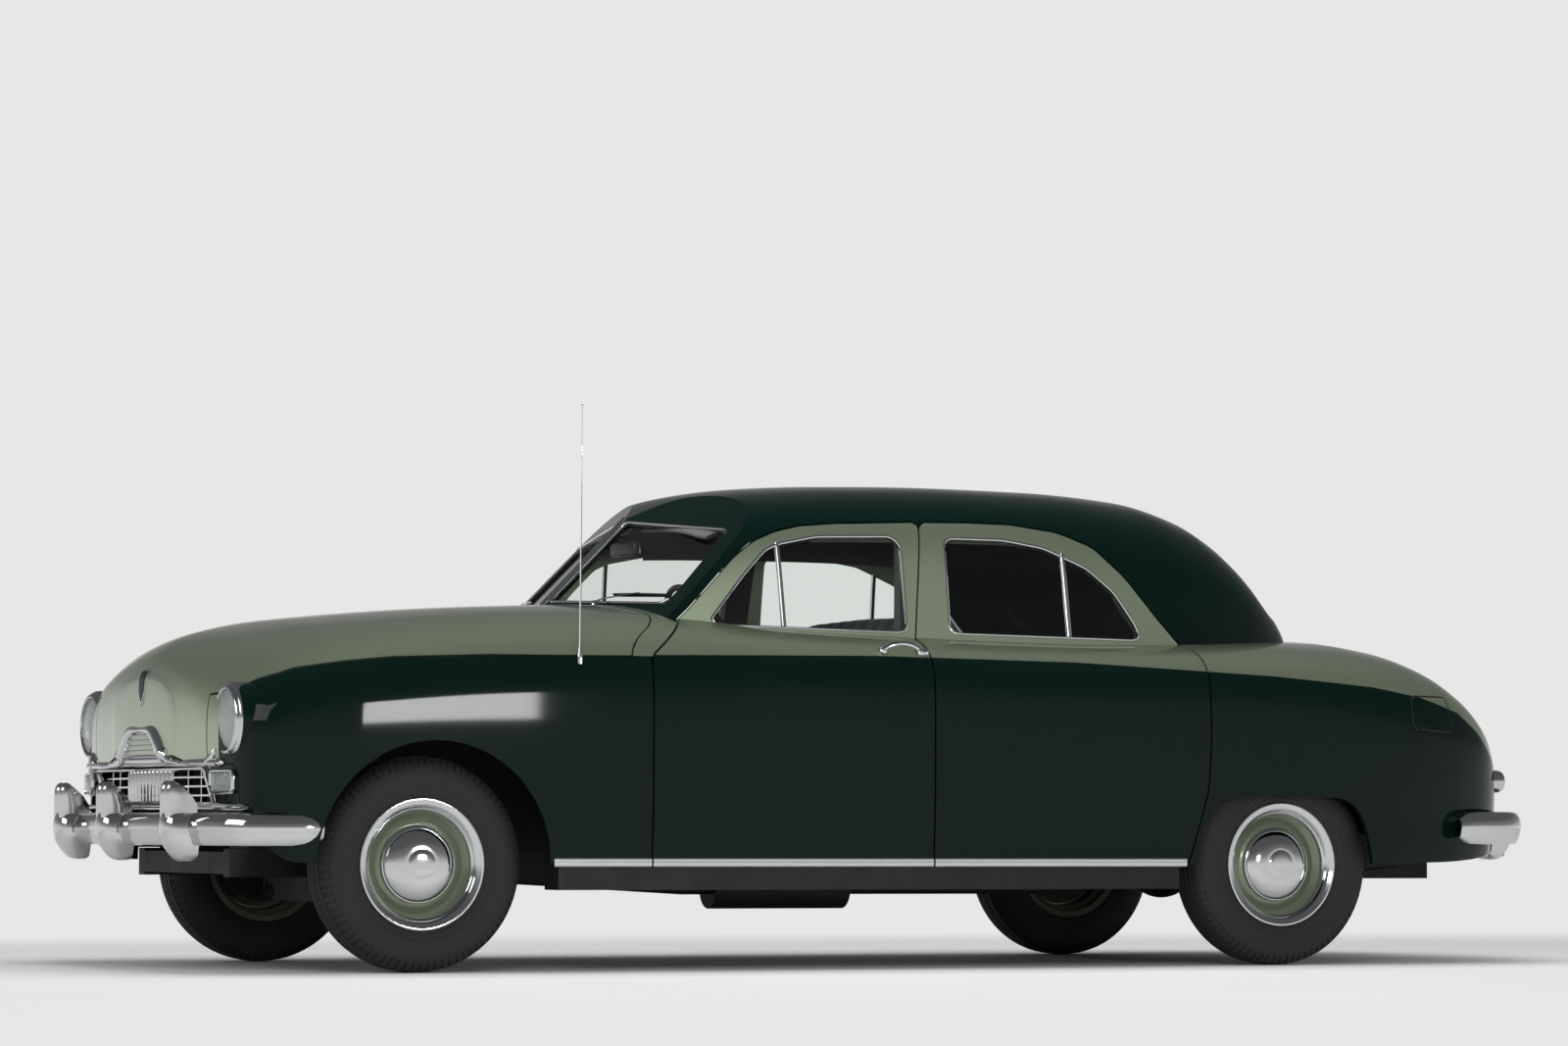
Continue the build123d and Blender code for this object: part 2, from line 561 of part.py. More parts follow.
# Grille, mouldings, lamps
def curved_bar(z0, z1, half, depth):
    # A bar that follows the nose: its front edge bulges from the ends to the middle
    end, middle = 602 - depth, 634 - depth
    front = Edge.make_three_point_arc((602, -half, z0), (634, 0, z0), (602, half, z0))
    back = Edge.make_three_point_arc((end, half, z0), (middle, 0, z0), (end, -half, z0))
    ends = [Edge.make_line(front @ 1, back @ 0), Edge.make_line(back @ 1, front @ 0)]
    return Solid.extrude(Face(Wire([front, ends[0], back, ends[1]])), Vector(0, 0, z1 - z0))


grille = curved_bar(GRILLE_LOW, GRILLE_LOW + 8, GRILLE_HALF, 40)
grille = grille + curved_bar(GRILLE_HIGH - 8, GRILLE_HIGH, GRILLE_HALF, 40)
for z in (560, 589, 618):
    grille = grille + curved_bar(z - 6, z + 6, GRILLE_HALF, 26)
for y in (548, 350):
    for s in (1, -1):
        grille = grille + box(566, 604, s * y - 4, s * y + 4, GRILLE_LOW, GRILLE_HIGH)
for i in range(-5, 6):
    grille = grille + rod((638, i * 40, GRILLE_LOW + 6), (638, i * 40, GRILLE_HIGH - 3), 13)
RIM = [(-60, 100), (-60, 120), (28, RIM_RADIUS), (44, 112), (48, 98), (40, 97), (10, 97)]
LENS = [(8, 0), (8, 96), (38, 96), (48, 60), (52, 0)]
keep("grille", grille, upper_band, lower_band, *both(turned(RIM, HEAD)))
keep("front_lamps", *both(turned(LENS, HEAD)), *both(park))
keep("tail_lamps", *both(rod((-4060, tail_y, tail_z), TAIL_LAMP, TAIL_RADIUS)))
antenna = rod((-494, 921, 1010), (-497, 921, 1818), 3) + rod((-494, 921, 985), (-494.2, 921, 1036), 9)
keep("antenna", largest(antenna - outer))


# Bumpers and their guards
def bumper(points, radii, section_half_height, section_half_depth):
    path = FilletPolyline(*points, radius=radii)
    start = path @ 0
    plane = Plane(origin=start, z_dir=path % 0, x_dir=(0, 0, 1))
    section = plane * SlotOverall(section_half_height * 2, section_half_depth * 2)
    return sweep(section, path=path)


front_points = [(363, 900, 451), (600, 884, 451), (694, 600, 451), (732, 0, 451)]
front_points += [(x, -y, z) for x, y, z in front_points[2::-1]]
front_bumper = bumper(front_points, [150, 260, 3000, 260, 150], 52, 30)
rear_points = [(-3828, 880, 469), (-4090, 855, 469), (-4255, 600, 469), (-4340, 0, 469)]
rear_points += [(x, -y, z) for x, y, z in rear_points[2::-1]]
rear_bumper = bumper(rear_points, [150, 260, 3000, 260, 150], 57, 30)
# height, depth forward, half width of a guard
GUARD = [
    (350, 18, 22), (378, 34, 38), (412, 50, 48), (455, 60, 52), (498, 50, 40), (530, 46, 36), (562, 54, 42),
    (590, 44, 38), (606, 16, 18),
]


def guard(x, y, lift):
    sections = []
    for z, depth, half in GUARD:
        plane = Plane(origin=(x, y, z + lift), z_dir=(0, 0, 1))
        sections.append((plane * Ellipse(depth, half)).wire())
    return Solid.make_loft(sections)


for y, x in ((556, 726), (0, 760), (-556, 726)):
    front_bumper = front_bumper + guard(x, y, 0)
for y, x in ((420, -4330), (-420, -4330)):
    rear_bumper = rear_bumper + guard(x, y, 24)
bar_post = box(-4290, -4262, 405, 455, 368, 440)
front_bumper = front_bumper - proud_nose
# The bar's ends lie along the fenders, seen from above, (x, y)
ALONG_FENDER = [(340, 700), (340, 923), (366, 922.5), (400, 919), (430, 915), (430, 700)]
along = Face(Wire.make_polygon([(x, y, 380) for x, y in ALONG_FENDER], close=True))
for end in both(Solid.extrude(along, Vector(0, 0, 140))):
    front_bumper = front_bumper - end
rear_bumper = rear_bumper - proud_tail
for front_piece, rear_piece in zip(both(front_arm), both(rear_arm_low + bar_post)):
    front_bumper = front_bumper + front_piece
    rear_bumper = rear_bumper + rear_piece
keep("front_bumper", largest(front_bumper))
keep("rear_bumper", largest(rear_bumper))

for name, solids in PARTS.items():
    moved = [Pos(FRONT_AXLE_X, 0, 0) * solid for solid in solids]
    shape = moved[0] if len(moved) == 1 else Compound(children=moved)
    export_step(shape, f"parts/{name}.step")
    bounds = shape.bounding_box()
    print(name, len(moved), [s.is_valid for s in solids].count(False), bounds.min, bounds.max)
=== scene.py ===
import json
import math
import bmesh
import bpy
import numpy as np
from mathutils import Matrix, Vector

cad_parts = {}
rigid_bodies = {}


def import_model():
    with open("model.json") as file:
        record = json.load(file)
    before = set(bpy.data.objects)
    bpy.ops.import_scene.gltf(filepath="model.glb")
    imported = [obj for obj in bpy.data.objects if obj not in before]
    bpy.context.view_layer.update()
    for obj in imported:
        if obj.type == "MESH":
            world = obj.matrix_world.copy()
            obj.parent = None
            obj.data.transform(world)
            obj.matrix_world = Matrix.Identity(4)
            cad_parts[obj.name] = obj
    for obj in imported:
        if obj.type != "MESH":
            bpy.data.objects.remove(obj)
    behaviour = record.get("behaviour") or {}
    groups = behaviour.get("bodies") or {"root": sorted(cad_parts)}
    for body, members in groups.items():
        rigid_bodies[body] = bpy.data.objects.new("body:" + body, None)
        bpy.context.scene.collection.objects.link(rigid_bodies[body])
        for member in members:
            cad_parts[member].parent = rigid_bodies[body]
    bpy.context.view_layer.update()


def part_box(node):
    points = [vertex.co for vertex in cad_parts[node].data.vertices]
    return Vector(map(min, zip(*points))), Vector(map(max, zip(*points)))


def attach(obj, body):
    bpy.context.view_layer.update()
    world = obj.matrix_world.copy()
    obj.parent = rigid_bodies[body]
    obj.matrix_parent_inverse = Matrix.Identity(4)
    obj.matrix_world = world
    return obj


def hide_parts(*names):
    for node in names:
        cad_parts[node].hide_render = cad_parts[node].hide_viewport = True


bl_info = {
    "name": "Two-tone four-door sedan",
    "version": (1, 0, 0),
    "blender": (4, 5, 0),
    "location": "View3D > Sidebar > Sedan",
    "description": "Dresses the packed frame of a late 1940s sedan",
    "category": "Object",
}

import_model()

# Places read from the frame, in metres
tyre_low, tyre_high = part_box("tyre_front_left")
AXLE = (tyre_low.x + tyre_high.x) / 2
TYRE_RADIUS = (tyre_high.z - tyre_low.z) / 2
FRONT_HALF_TRACK = (tyre_low.y + tyre_high.y) / 2
rear_low, rear_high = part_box("tyre_rear_left")
REAR_AXLE = (rear_low.x + rear_high.x) / 2 - AXLE
REAR_HALF_TRACK = (rear_low.y + rear_high.y) / 2

# Body sections, stations counted from the front axle
# x, half width, height of widest, top, side exponent, top exponent, bottom, half bottom
BODY = [
    (0.66, 0.33, 0.8, 0.948, 2.2, 2.2, 0.69, 0.3),
    (0.64, 0.56, 0.78, 0.994, 1.8, 2.1, 0.64, 0.52),
    (0.6, 0.78, 0.76, 1.037, 1.5, 2.2, 0.52, 0.74),
    (0.54, 0.868, 0.74, 1.073, 1.45, 3.0, 0.4, 0.845),
    (0.45, 0.905, 0.71, 1.104, 1.5, 4.6, 0.35, 0.89),
    (0.25, 0.927, 0.66, 1.142, 2.2, 6.0, 0.345, 0.915),
    (-0.4, 0.929, 0.64, 1.193, 3.0, 6.6, 0.345, 0.917),
    (-0.8, 0.929, 0.64, 1.206, 3.0, 6.4, 0.345, 0.917),
    (-1.3, 0.929, 0.64, 1.16, 3.0, 8.5, 0.345, 0.917),
    (-2.7, 0.929, 0.64, 1.13, 3.0, 8.5, 0.345, 0.917),
    (-3.137, 0.925, 0.64, 1.131, 3.0, 7.6, 0.345, 0.912),
    (-3.45, 0.91, 0.63, 1.131, 2.8, 6.2, 0.345, 0.893),
    (-3.65, 0.888, 0.625, 1.114, 2.6, 5.4, 0.348, 0.86),
    (-3.82, 0.85, 0.62, 1.072, 2.5, 4.8, 0.352, 0.815),
    (-3.95, 0.8, 0.615, 1.014, 2.4, 4.2, 0.36, 0.76),
    (-4.05, 0.735, 0.605, 0.948, 2.4, 3.7, 0.372, 0.695),
    (-4.13, 0.64, 0.595, 0.873, 2.4, 3.2, 0.388, 0.605),
    (-4.19, 0.52, 0.585, 0.792, 2.4, 3.0, 0.4, 0.49),
    (-4.245, 0.26, 0.57, 0.69, 2.4, 2.6, 0.42, 0.245),
]
# Cabin sections: x, half width at the belt, lean inwards, top, side exponent, top exponent
CABIN = [
    (-0.7, 0.742, 0.14, 1.29, 2.2, 9.0),
    (-1.045, 0.762, 0.14, 1.51, 2.2, 9.0),
    (-1.202, 0.77, 0.14, 1.59, 2.2, 9.0),
    (-1.349, 0.775, 0.14, 1.614, 2.2, 9.0),
    (-1.65, 0.778, 0.14, 1.633, 2.2, 9.0),
    (-2.025, 0.778, 0.14, 1.641, 2.2, 9.0),
    (-2.41, 0.775, 0.14, 1.638, 2.2, 8.0),
    (-2.77, 0.748, 0.14, 1.62, 2.2, 5.4),
    (-2.98, 0.7, 0.14, 1.577, 2.2, 4.0),
    (-3.085, 0.662, 0.14, 1.532, 2.2, 3.5),
    (-3.19, 0.612, 0.13, 1.464, 2.2, 3.1),
    (-3.28, 0.556, 0.12, 1.385, 2.2, 2.8),
    (-3.37, 0.48, 0.1, 1.285, 2.2, 2.5),
    (-3.45, 0.36, 0.06, 1.18, 2.2, 2.2),
]
BELT_BASE = 1.05
# Panel outlines seen from the side, (x, z)
FRONT_DOOR = [
    (-0.753, 0.33), (-0.753, 1.012), (-0.895, 1.123), (-0.945, 1.164), (-1.026, 1.246), (-1.122, 1.346),
    (-1.197, 1.403), (-1.279, 1.438), (-1.37, 1.459), (-1.5, 1.471), (-1.812, 1.484), (-1.762, 1.06),
    (-1.762, 0.33),
]
REAR_DOOR = [
    (-1.768, 0.33), (-1.768, 1.06), (-1.818, 1.484), (-2.0, 1.487), (-2.162, 1.485), (-2.339, 1.463),
    (-2.468, 1.416), (-2.586, 1.315), (-2.706, 1.177), (-2.805, 1.076), (-2.81, 0.76), (-2.8, 0.6),
    (-2.772, 0.5), (-2.722, 0.33),
]
FRONT_WINDOW = [
    (-1.029, 1.143), (-1.155, 1.294), (-1.236, 1.378), (-1.287, 1.4), (-1.426, 1.428), (-1.703, 1.436),
    (-1.737, 1.403), (-1.741, 1.124), (-1.715, 1.112), (-1.04, 1.126),
]
REAR_WINDOW = [
    (-1.9, 1.424), (-1.924, 1.435), (-2.124, 1.434), (-2.276, 1.411), (-2.436, 1.346), (-2.538, 1.267),
    (-2.616, 1.158), (-2.632, 1.116), (-2.61, 1.102), (-1.927, 1.112), (-1.899, 1.123),
]
REAR_ARCH = [
    (-2.744, 0.25), (-2.786, 0.482), (-2.812, 0.532), (-2.86, 0.562), (-2.935, 0.572), (-3.33, 0.572),
    (-3.385, 0.548), (-3.425, 0.5), (-3.467, 0.38), (-3.48, 0.25),
]
FENDER_TOP = [
    (0.7, 0.86), (0.596, 0.892), (0.54, 0.927), (0.442, 0.963), (0.29, 0.985), (0.138, 1.0),
    (-0.191, 1.012), (-0.528, 1.014), (-0.9, 1.018),
]
TWO_TONE = [
    (-0.5, 1.014), (-0.873, 1.02), (-1.581, 1.029), (-2.314, 1.019), (-3.071, 0.984), (-3.475, 0.953),
    (-3.69, 0.92), (-3.87, 0.87), (-3.979, 0.8), (-4.06, 0.72), (-4.3, 0.56),
]
# Hood's rear line seen from above, (x, y)
HOOD_REAR = [
    (-0.722, 0.0), (-0.812, 0.56), (-0.818, 0.74), (-0.779, 0.817), (-0.672, 0.905), (-0.65, 0.98),
]
ARCH_CENTRE, ARCH_RADIUS = (-0.005, 0.344), 0.392
SCREEN_X, SCREEN_Z, SCREEN_RAKE, SCREEN_SWEEP = -0.743, 1.21, 1.0067, -0.27
REAR_OPENING = [
    (-0.47, 1.19), (0.47, 1.19), (0.5, 1.24), (0.45, 1.42), (0.39, 1.446), (-0.39, 1.446), (-0.45, 1.42),
    (-0.5, 1.24),
]
REAR_ROUND = 0.05
GAP = 0.006
SKIN_DEPTH = 0.018
FRAME_DEPTH = 0.024
NOSE_HALF, NOSE_BOTTOM = 0.566, 0.664
PANEL_HALF, PANEL_TOP = 0.762, 0.657
TRUNK_FRONT, TRUNK_HALF, TRUNK_BOTTOM = -3.65, 0.56, 0.618
DECK_HALF = 0.58
COWL_BOTTOM = 1.014
HEAD = (0.578, 0.694, 0.797)
# Ends of the skins along X, and the door and fender seams
TAIL_END, NOSE_END, CABIN_REAR, CABIN_FRONT = -4.245, 0.67, -3.45, -0.7
FENDER_REAR, FENDER_STEP, REACH_BACK = -0.747, -0.6, -4.3


# Smooth section curves and the outer surface they make


class Sections:
    """Columns of a section table, joined smoothly along X without overshoot."""

    def __init__(self, rows):
        rows = np.array(sorted(rows), float)
        self.x, self.columns = rows[:, 0], rows[:, 1:]
        step = np.diff(self.x)[:, None]
        rise = np.diff(self.columns, axis=0) / step
        before, after = rise[:-1], rise[1:]
        near, far = 2 * step[1:] + step[:-1], step[1:] + 2 * step[:-1]
        with np.errstate(divide="ignore", invalid="ignore"):
            mean = (near + far) / (near / before + far / after)
        self.slope = np.zeros_like(self.columns)
        self.slope[0], self.slope[-1] = rise[0], rise[-1]
        self.slope[1:-1] = np.where(before * after > 0, mean, 0.0)

    def at(self, x):
        i = int(np.clip(np.searchsorted(self.x, x) - 1, 0, len(self.x) - 2))
        h = self.x[i + 1] - self.x[i]
        t = (x - self.x[i]) / h
        low = self.columns[i] * (1 + 2 * t) + self.slope[i] * h * t
        high = self.columns[i + 1] * (3 - 2 * t) + self.slope[i + 1] * h * (t - 1)
        return low * (1 - t) ** 2 + high * t ** 2


BODY_SECTIONS = Sections(BODY)
CABIN_SECTIONS = Sections(CABIN)
EVEN = np.linspace(0, 1, 500)
ANGLES = math.pi / 2 * EVEN ** 2 * (3 - 2 * EVEN)
NOSE_DOME, TAIL_DOME = 0.01, 0.012


def spaced(y, z, count):
    """The points of a curve spread evenly, closer together where it bends."""
    dy, dz = np.diff(y), np.diff(z)
    turn = np.abs(np.diff(np.unwrap(np.arctan2(dz, dy)), prepend=0.0))
    turn[0] = 0.0
    way = np.concatenate([[0.0], np.cumsum(np.hypot(dy, dz) + 0.12 * turn)])
    wanted = np.linspace(0, way[-1], count)
    return np.stack([np.interp(wanted, way, y), np.interp(wanted, way, z)], 1)


def body_section(x, count):
    w, z_wide, top, p, q, bottom, half_bottom = BODY_SECTIONS.at(x)
    k = np.linspace(0, 1, 60)[:-1]
    y = w - (w - half_bottom) * (1 - k) ** 2
    z = bottom + (z_wide - bottom) * k
    y = np.concatenate([y, w * np.cos(ANGLES).clip(0) ** (2 / p)])
    z = np.concatenate([z, z_wide + (top - z_wide) * np.sin(ANGLES) ** (2 / q)])
    return spaced(y, z, count)


def cabin_section(x, count):
    w, lean, top, p, q = CABIN_SECTIONS.at(x)
    z = BELT_BASE + (top - BELT_BASE) * np.sin(ANGLES) ** (2 / q)
    y = (w - lean * (z - BELT_BASE)) * np.cos(ANGLES).clip(0) ** (2 / p)
    return spaced(y, z, count)


def stations(low, high):
    """Places along X from low to high, closer together where the ends round off."""
    xs, x = [low], low
    while x < high:
        if x > 0.61 or x < -4.13:
            x += 0.004
        elif x > 0.42 or x < -3.85:
            x += 0.01
        else:
            x += 0.022
        xs.append(min(x, high))
    return xs


def surface(section, xs, count, nose=False, tail=False):
    """A grid of points over the left half, with its outward normals."""
    rows = [np.column_stack([np.full(count, x), section(x, count)]) for x in xs]
    for wanted, place, depth in ((nose, -1, NOSE_DOME), (tail, 0, -TAIL_DOME)):
        if wanted:
            base = rows[place]
            dome = []
            for part in (0.25, 0.5, 0.7, 0.85, 0.94, 0.985, 1.0):
                scale = math.sqrt(max(1 - part * part, 1e-6))
                row = base * [1, scale, scale] + [depth * part, 0, base[0, 2] * (1 - scale)]
                dome.append(row)
            rows = rows + dome if place else dome[::-1] + rows
    points = np.array(rows)
    along = np.gradient(points, axis=0)
    up = np.gradient(points, axis=1)
    normals = np.cross(up, along)
    normals[:, -1, 1] = 0.0
    length = np.linalg.norm(normals, axis=2, keepdims=True)
    return points, normals / np.maximum(length, 1e-12)


def grid_faces(rows, columns):
    faces = []
    for i in range(rows - 1):
        for j in range(columns - 1):
            a = i * columns + j
            faces.append((a, a + 1, a + columns + 1, a + columns))
    return faces


# Points closer than this are one
MERGE = 1e-5
# How far from a path faces are looked at when it cuts
NEAR_PATH = 0.045


class Skin:
    """A stretch of surface that is cut along lines and then given its thickness."""

    def __init__(self, points, normals):
        self.bm = bmesh.new()
        self.true = self.bm.verts.layers.float_vector.new("true_normal")
        rows, columns = points.shape[:2]
        for point, normal in zip(points.reshape(-1, 3), normals.reshape(-1, 3)):
            vert = self.bm.verts.new(point)
            vert[self.true] = normal
        self.bm.verts.ensure_lookup_table()
        for face in grid_faces(rows, columns):
            self.bm.faces.new([self.bm.verts[i] for i in face])

    def centres(self):
        return np.array([face.calc_center_median() for face in self.bm.faces]).reshape(-1, 3)

    def slice(self, place, normal, faces=None):
        """Cuts faces by a plane and returns the faces that the cut adds."""
        faces = list(self.bm.faces) if faces is None else faces
        geometry = set(faces)
        for face in faces:
            geometry.update(face.edges)
            geometry.update(face.verts)
        cut = bmesh.ops.bisect_plane(self.bm, geom=list(geometry), dist=MERGE, plane_co=place,
                                     plane_no=normal)
        return [g for g in cut["geom"] if isinstance(g, bmesh.types.BMFace) and g not in geometry]

    def trace(self, path, view, within=None):
        """Cuts the faces along a path seen from the side (x, z), above (x, y) or the front (y, z)."""
        first, second = {"side": (0, 2), "top": (0, 1), "front": (1, 2)}[view]
        path = without_repeats(path)
        faces = list(self.bm.faces)
        flat = self.centres()[:, [first, second]]
        near = np.zeros(len(faces), bool)
        for a, b in zip(path[:-1], path[1:]):
            along = b - a
            t = np.clip(((flat - a) @ along) / max(along @ along, 1e-12), 0, 1)[:, None]
            near |= np.linalg.norm(flat - a - t * along, axis=1) < NEAR_PATH
        if within is not None:
            near &= within(self.centres())
        faces = [face for face, wanted in zip(faces, near) if wanted]
        for a, b in zip(path[:-1], path[1:]):
            low = np.minimum(a, b) - 1e-4
            high = np.maximum(a, b) + 1e-4
            crossed = []
            for face in faces:
                us = [v.co[first] for v in face.verts]
                if max(us) < low[0] or min(us) > high[0]:
                    continue
                vs = [v.co[second] for v in face.verts]
                if max(vs) < low[1] or min(vs) > high[1]:
                    continue
                crossed.append(face)
            if crossed:
                place, normal = [0.0] * 3, [0.0] * 3
                place[first], place[second] = a
                normal[first], normal[second] = b[1] - a[1], a[0] - b[0]
                faces += self.slice(place, normal, crossed)

    def drop(self, unwanted):
        """Deletes the faces whose centres the test names."""
        mask = unwanted(self.centres())
        gone = [face for face, out in zip(self.bm.faces, mask) if out]
        bmesh.ops.delete(self.bm, geom=gone, context="FACES")

    def paint(self, test, index):
        mask = test(self.centres())
        for face, chosen in zip(self.bm.faces, mask):
            if chosen:
                face.material_index = index

    def mirror_whole(self):
        """Adds the right half and closes it along the middle."""
        made = bmesh.ops.duplicate(self.bm, geom=list(self.bm.faces))["geom"]
        for vert in (g for g in made if isinstance(g, bmesh.types.BMVert)):
            vert.co.y = -vert.co.y
            normal = vert[self.true]
            vert[self.true] = (normal[0], -normal[1], normal[2])
        bmesh.ops.reverse_faces(self.bm, faces=[g for g in made if isinstance(g, bmesh.types.BMFace)])
        middle = [v for v in self.bm.verts if abs(v.co.y) < MERGE]
        for vert in middle:
            vert.co.y = 0.0
        bmesh.ops.remove_doubles(self.bm, verts=middle, dist=MERGE)

    def solid(self, name, depth, offset=0.0, mirrored=False):
        """The finished piece: the surface moved by offset along its normals, with a wall of this depth."""
        bmesh.ops.dissolve_degenerate(self.bm, dist=2e-5, edges=list(self.bm.edges))
        bm = self.bm
        bm.verts.index_update()
        count = len(bm.verts)
        side = np.array([1.0, -1.0 if mirrored else 1.0, 1.0])
        points = np.array([v.co for v in bm.verts]) * side
        normals = np.array([v[self.true] for v in bm.verts]) * side
        normals /= np.maximum(np.linalg.norm(normals, axis=1, keepdims=True), 1e-9)
        outer = points + normals * offset
        inner = outer - normals * depth
        faces, paints, shading = [], [], []
        for wall, facing in ((0, 1), (count, -1)):
            for face in bm.faces:
                loop = [v.index for v in face.verts]
                loop = loop[::-1] if mirrored == (facing > 0) else loop
                faces.append([i + wall for i in loop])
                shading += [normals[i] * facing for i in loop]
                paints.append(face.material_index)
        for edge in bm.edges:
            if len(edge.link_faces) == 1:
                face = edge.link_faces[0]
                a, b = edge.verts[0].index, edge.verts[1].index
                loop = [v.index for v in face.verts]
                if loop[(loop.index(a) + 1) % len(loop)] != b:
                    a, b = b, a
                quad = [b, a, a + count, b + count]
                quad = quad[::-1] if mirrored else quad
                faces.append(quad)
                corner = [(outer if i < count else inner)[i % count] for i in quad]
                flat = np.cross(corner[2] - corner[0], corner[3] - corner[1])
                flat /= max(np.linalg.norm(flat), 1e-12)
                shading += [flat] * 4
                paints.append(face.material_index)
        vertices = np.concatenate([outer, inner]) + [AXLE, 0, 0]
        mesh = bpy.data.meshes.new(name)
        mesh.from_pydata(vertices.tolist(), [], faces)
        mesh.polygons.foreach_set("material_index", paints)
        mesh.polygons.foreach_set("use_smooth", [True] * len(faces))
        mesh.update()
        mesh.normals_split_custom_set([tuple(n) for n in shading])
        piece = bpy.data.objects.new(name, mesh)
        bpy.context.scene.collection.objects.link(piece)
        return piece


def inside(points, outline):
    """Which (u, v) points lie inside a closed outline."""
    outline = np.array(outline)
    result = np.zeros(len(points), bool)
    u, v = points[:, 0], points[:, 1]
    for a, b in zip(outline, np.roll(outline, -1, axis=0)):
        crossing = (a[1] > v) != (b[1] > v)
        with np.errstate(divide="ignore", invalid="ignore"):
            at = (b[0] - a[0]) * (v - a[1]) / (b[1] - a[1]) + a[0]
        result ^= crossing & (u < at)
    return result


def grown(outline, distance):
    """A closed outline moved outwards by a distance, corners kept sharp."""
    points = np.array(outline, float)
    before = points - np.roll(points, 1, axis=0)
    after = np.roll(points, -1, axis=0) - points
    area = np.sum(points[:, 0] * np.roll(points[:, 1], -1) - np.roll(points[:, 0], -1) * points[:, 1])
    turn = 1.0 if area > 0 else -1.0
    n1 = np.column_stack([before[:, 1], -before[:, 0]]) / np.linalg.norm(before, axis=1)[:, None] * turn
    n2 = np.column_stack([after[:, 1], -after[:, 0]]) / np.linalg.norm(after, axis=1)[:, None] * turn
    share = 1 + np.sum(n1 * n2, axis=1)
    return points + distance * (n1 + n2) / np.maximum(share, 0.3)[:, None]


# Points in each rounded corner
CORNER_POINTS = 6


def rounded(outline, radius, closed=True):
    """An outline whose corners are drawn as short curves."""
    points = np.array(outline, float)
    made = []
    last = len(points) - 1
    for i, corner in enumerate(points):
        if not closed and i in (0, last):
            made.append(corner)
            continue
        ends = []
        for other in (points[i - 1], points[(i + 1) % len(points)]):
            way = other - corner
            ends.append(corner + way / np.linalg.norm(way) * min(radius, 0.45 * np.linalg.norm(way)))
        start, end = ends
        for t in np.linspace(0, 1, CORNER_POINTS):
            made.append(start * (1 - t) ** 2 + corner * 2 * t * (1 - t) + end * t * t)
    return np.array(made)


def closed(path):
    return np.concatenate([path, path[:1]])


def without_repeats(path):
    kept = [path[0]]
    for point in path[1:]:
        if np.linalg.norm(np.subtract(point, kept[-1])) > 1e-4:
            kept.append(point)
    return np.array(kept)


# Starting, naming and seating pieces


def fresh():
    """Leaves edit mode and clears the selection, so that the next step works on its own piece."""
    if bpy.context.object and bpy.context.object.mode != "OBJECT":
        bpy.ops.object.mode_set(mode="OBJECT")
    bpy.ops.object.select_all(action="DESELECT")


def choose(piece):
    fresh()
    piece.select_set(True)
    bpy.context.view_layer.objects.active = piece


def settled(name, angle=35):
    """Names the active piece, puts its place in its mesh and smooths it by angle."""
    piece = bpy.context.object
    if piece.mode != "OBJECT":
        bpy.ops.object.mode_set(mode="OBJECT")
    piece.name = name
    piece.data.name = name
    bpy.ops.object.transform_apply(location=True, rotation=True, scale=True)
    bpy.ops.object.shade_smooth_by_angle(angle=math.radians(angle))
    return piece


def seat(piece, body, slot, *finishes, instead=()):
    """Gives a piece its body, its finishes and the nodes that it stands for; slot is not used."""
    paints = [face.material_index for face in piece.data.polygons]
    piece.data.materials.clear()
    for name in finishes:
        piece.data.materials.append(FINISHES[name])
    if len(finishes) > 1:
        piece.data.polygons.foreach_set("material_index", paints)
    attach(piece, body)
    if instead:
        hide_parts(*instead)
    return piece


def twin(piece, name, shift=(0, 0, 0), mirror=False):
    """A copy with its own mesh, mirrored across the car or moved."""
    choose(piece)
    bpy.ops.object.duplicate(linked=False)
    copy = bpy.context.object
    copy.name = name
    copy.data.name = name
    if mirror:
        copy.data.transform(Matrix.Scale(-1, 4, (0, 1, 0)))
        copy.data.flip_normals()
    copy.data.transform(Matrix.Translation(shift))
    return copy


def joined(name, pieces):
    """Several shapes of one finish made one piece."""
    choose(pieces[0])
    for piece in pieces[1:]:
        piece.select_set(True)
    if len(pieces) > 1:
        bpy.ops.object.join()
    piece = bpy.context.object
    piece.name = name
    piece.data.name = name
    return piece


def applied(piece, kind, **settings):
    """Adds a modifier to a piece and applies it."""
    choose(piece)
    modifier = piece.modifiers.new(kind.title(), kind)
    for key, value in settings.items():
        setattr(modifier, key, value)
    bpy.ops.object.modifier_apply(modifier=modifier.name)
    return piece


def outward():
    """In edit mode, merges doubles and turns all faces outwards."""
    bpy.ops.mesh.select_all(action="SELECT")
    bpy.ops.mesh.remove_doubles(threshold=2e-5)
    bpy.ops.mesh.dissolve_degenerate(threshold=1e-5)
    bpy.ops.mesh.select_all(action="SELECT")
    bpy.ops.mesh.normals_make_consistent(inside=False)


def spun(name, profile, centre, axis="Y", steps=96, side=1, angle=35):
    """A closed profile of (outwards, radius) spun about an axis of the car through centre."""
    fresh()
    cx, cy, cz = centre
    cx += AXLE
    bpy.ops.mesh.primitive_circle_add(vertices=len(profile), radius=0.01)
    piece = bpy.context.object
    for vert, (out, radius) in zip(piece.data.vertices, profile):
        if axis == "Y":
            vert.co = (cx, cy + side * out, cz + radius)
        else:
            vert.co = (cx + side * out, cy, cz + radius)
    bpy.ops.object.mode_set(mode="EDIT")
    bpy.ops.mesh.select_all(action="SELECT")
    direction = (0, 1, 0) if axis == "Y" else (1, 0, 0)
    bpy.ops.mesh.spin(steps=steps, angle=2 * math.pi, center=(cx, cy, cz), axis=direction)
    outward()
    return settled(name, angle)


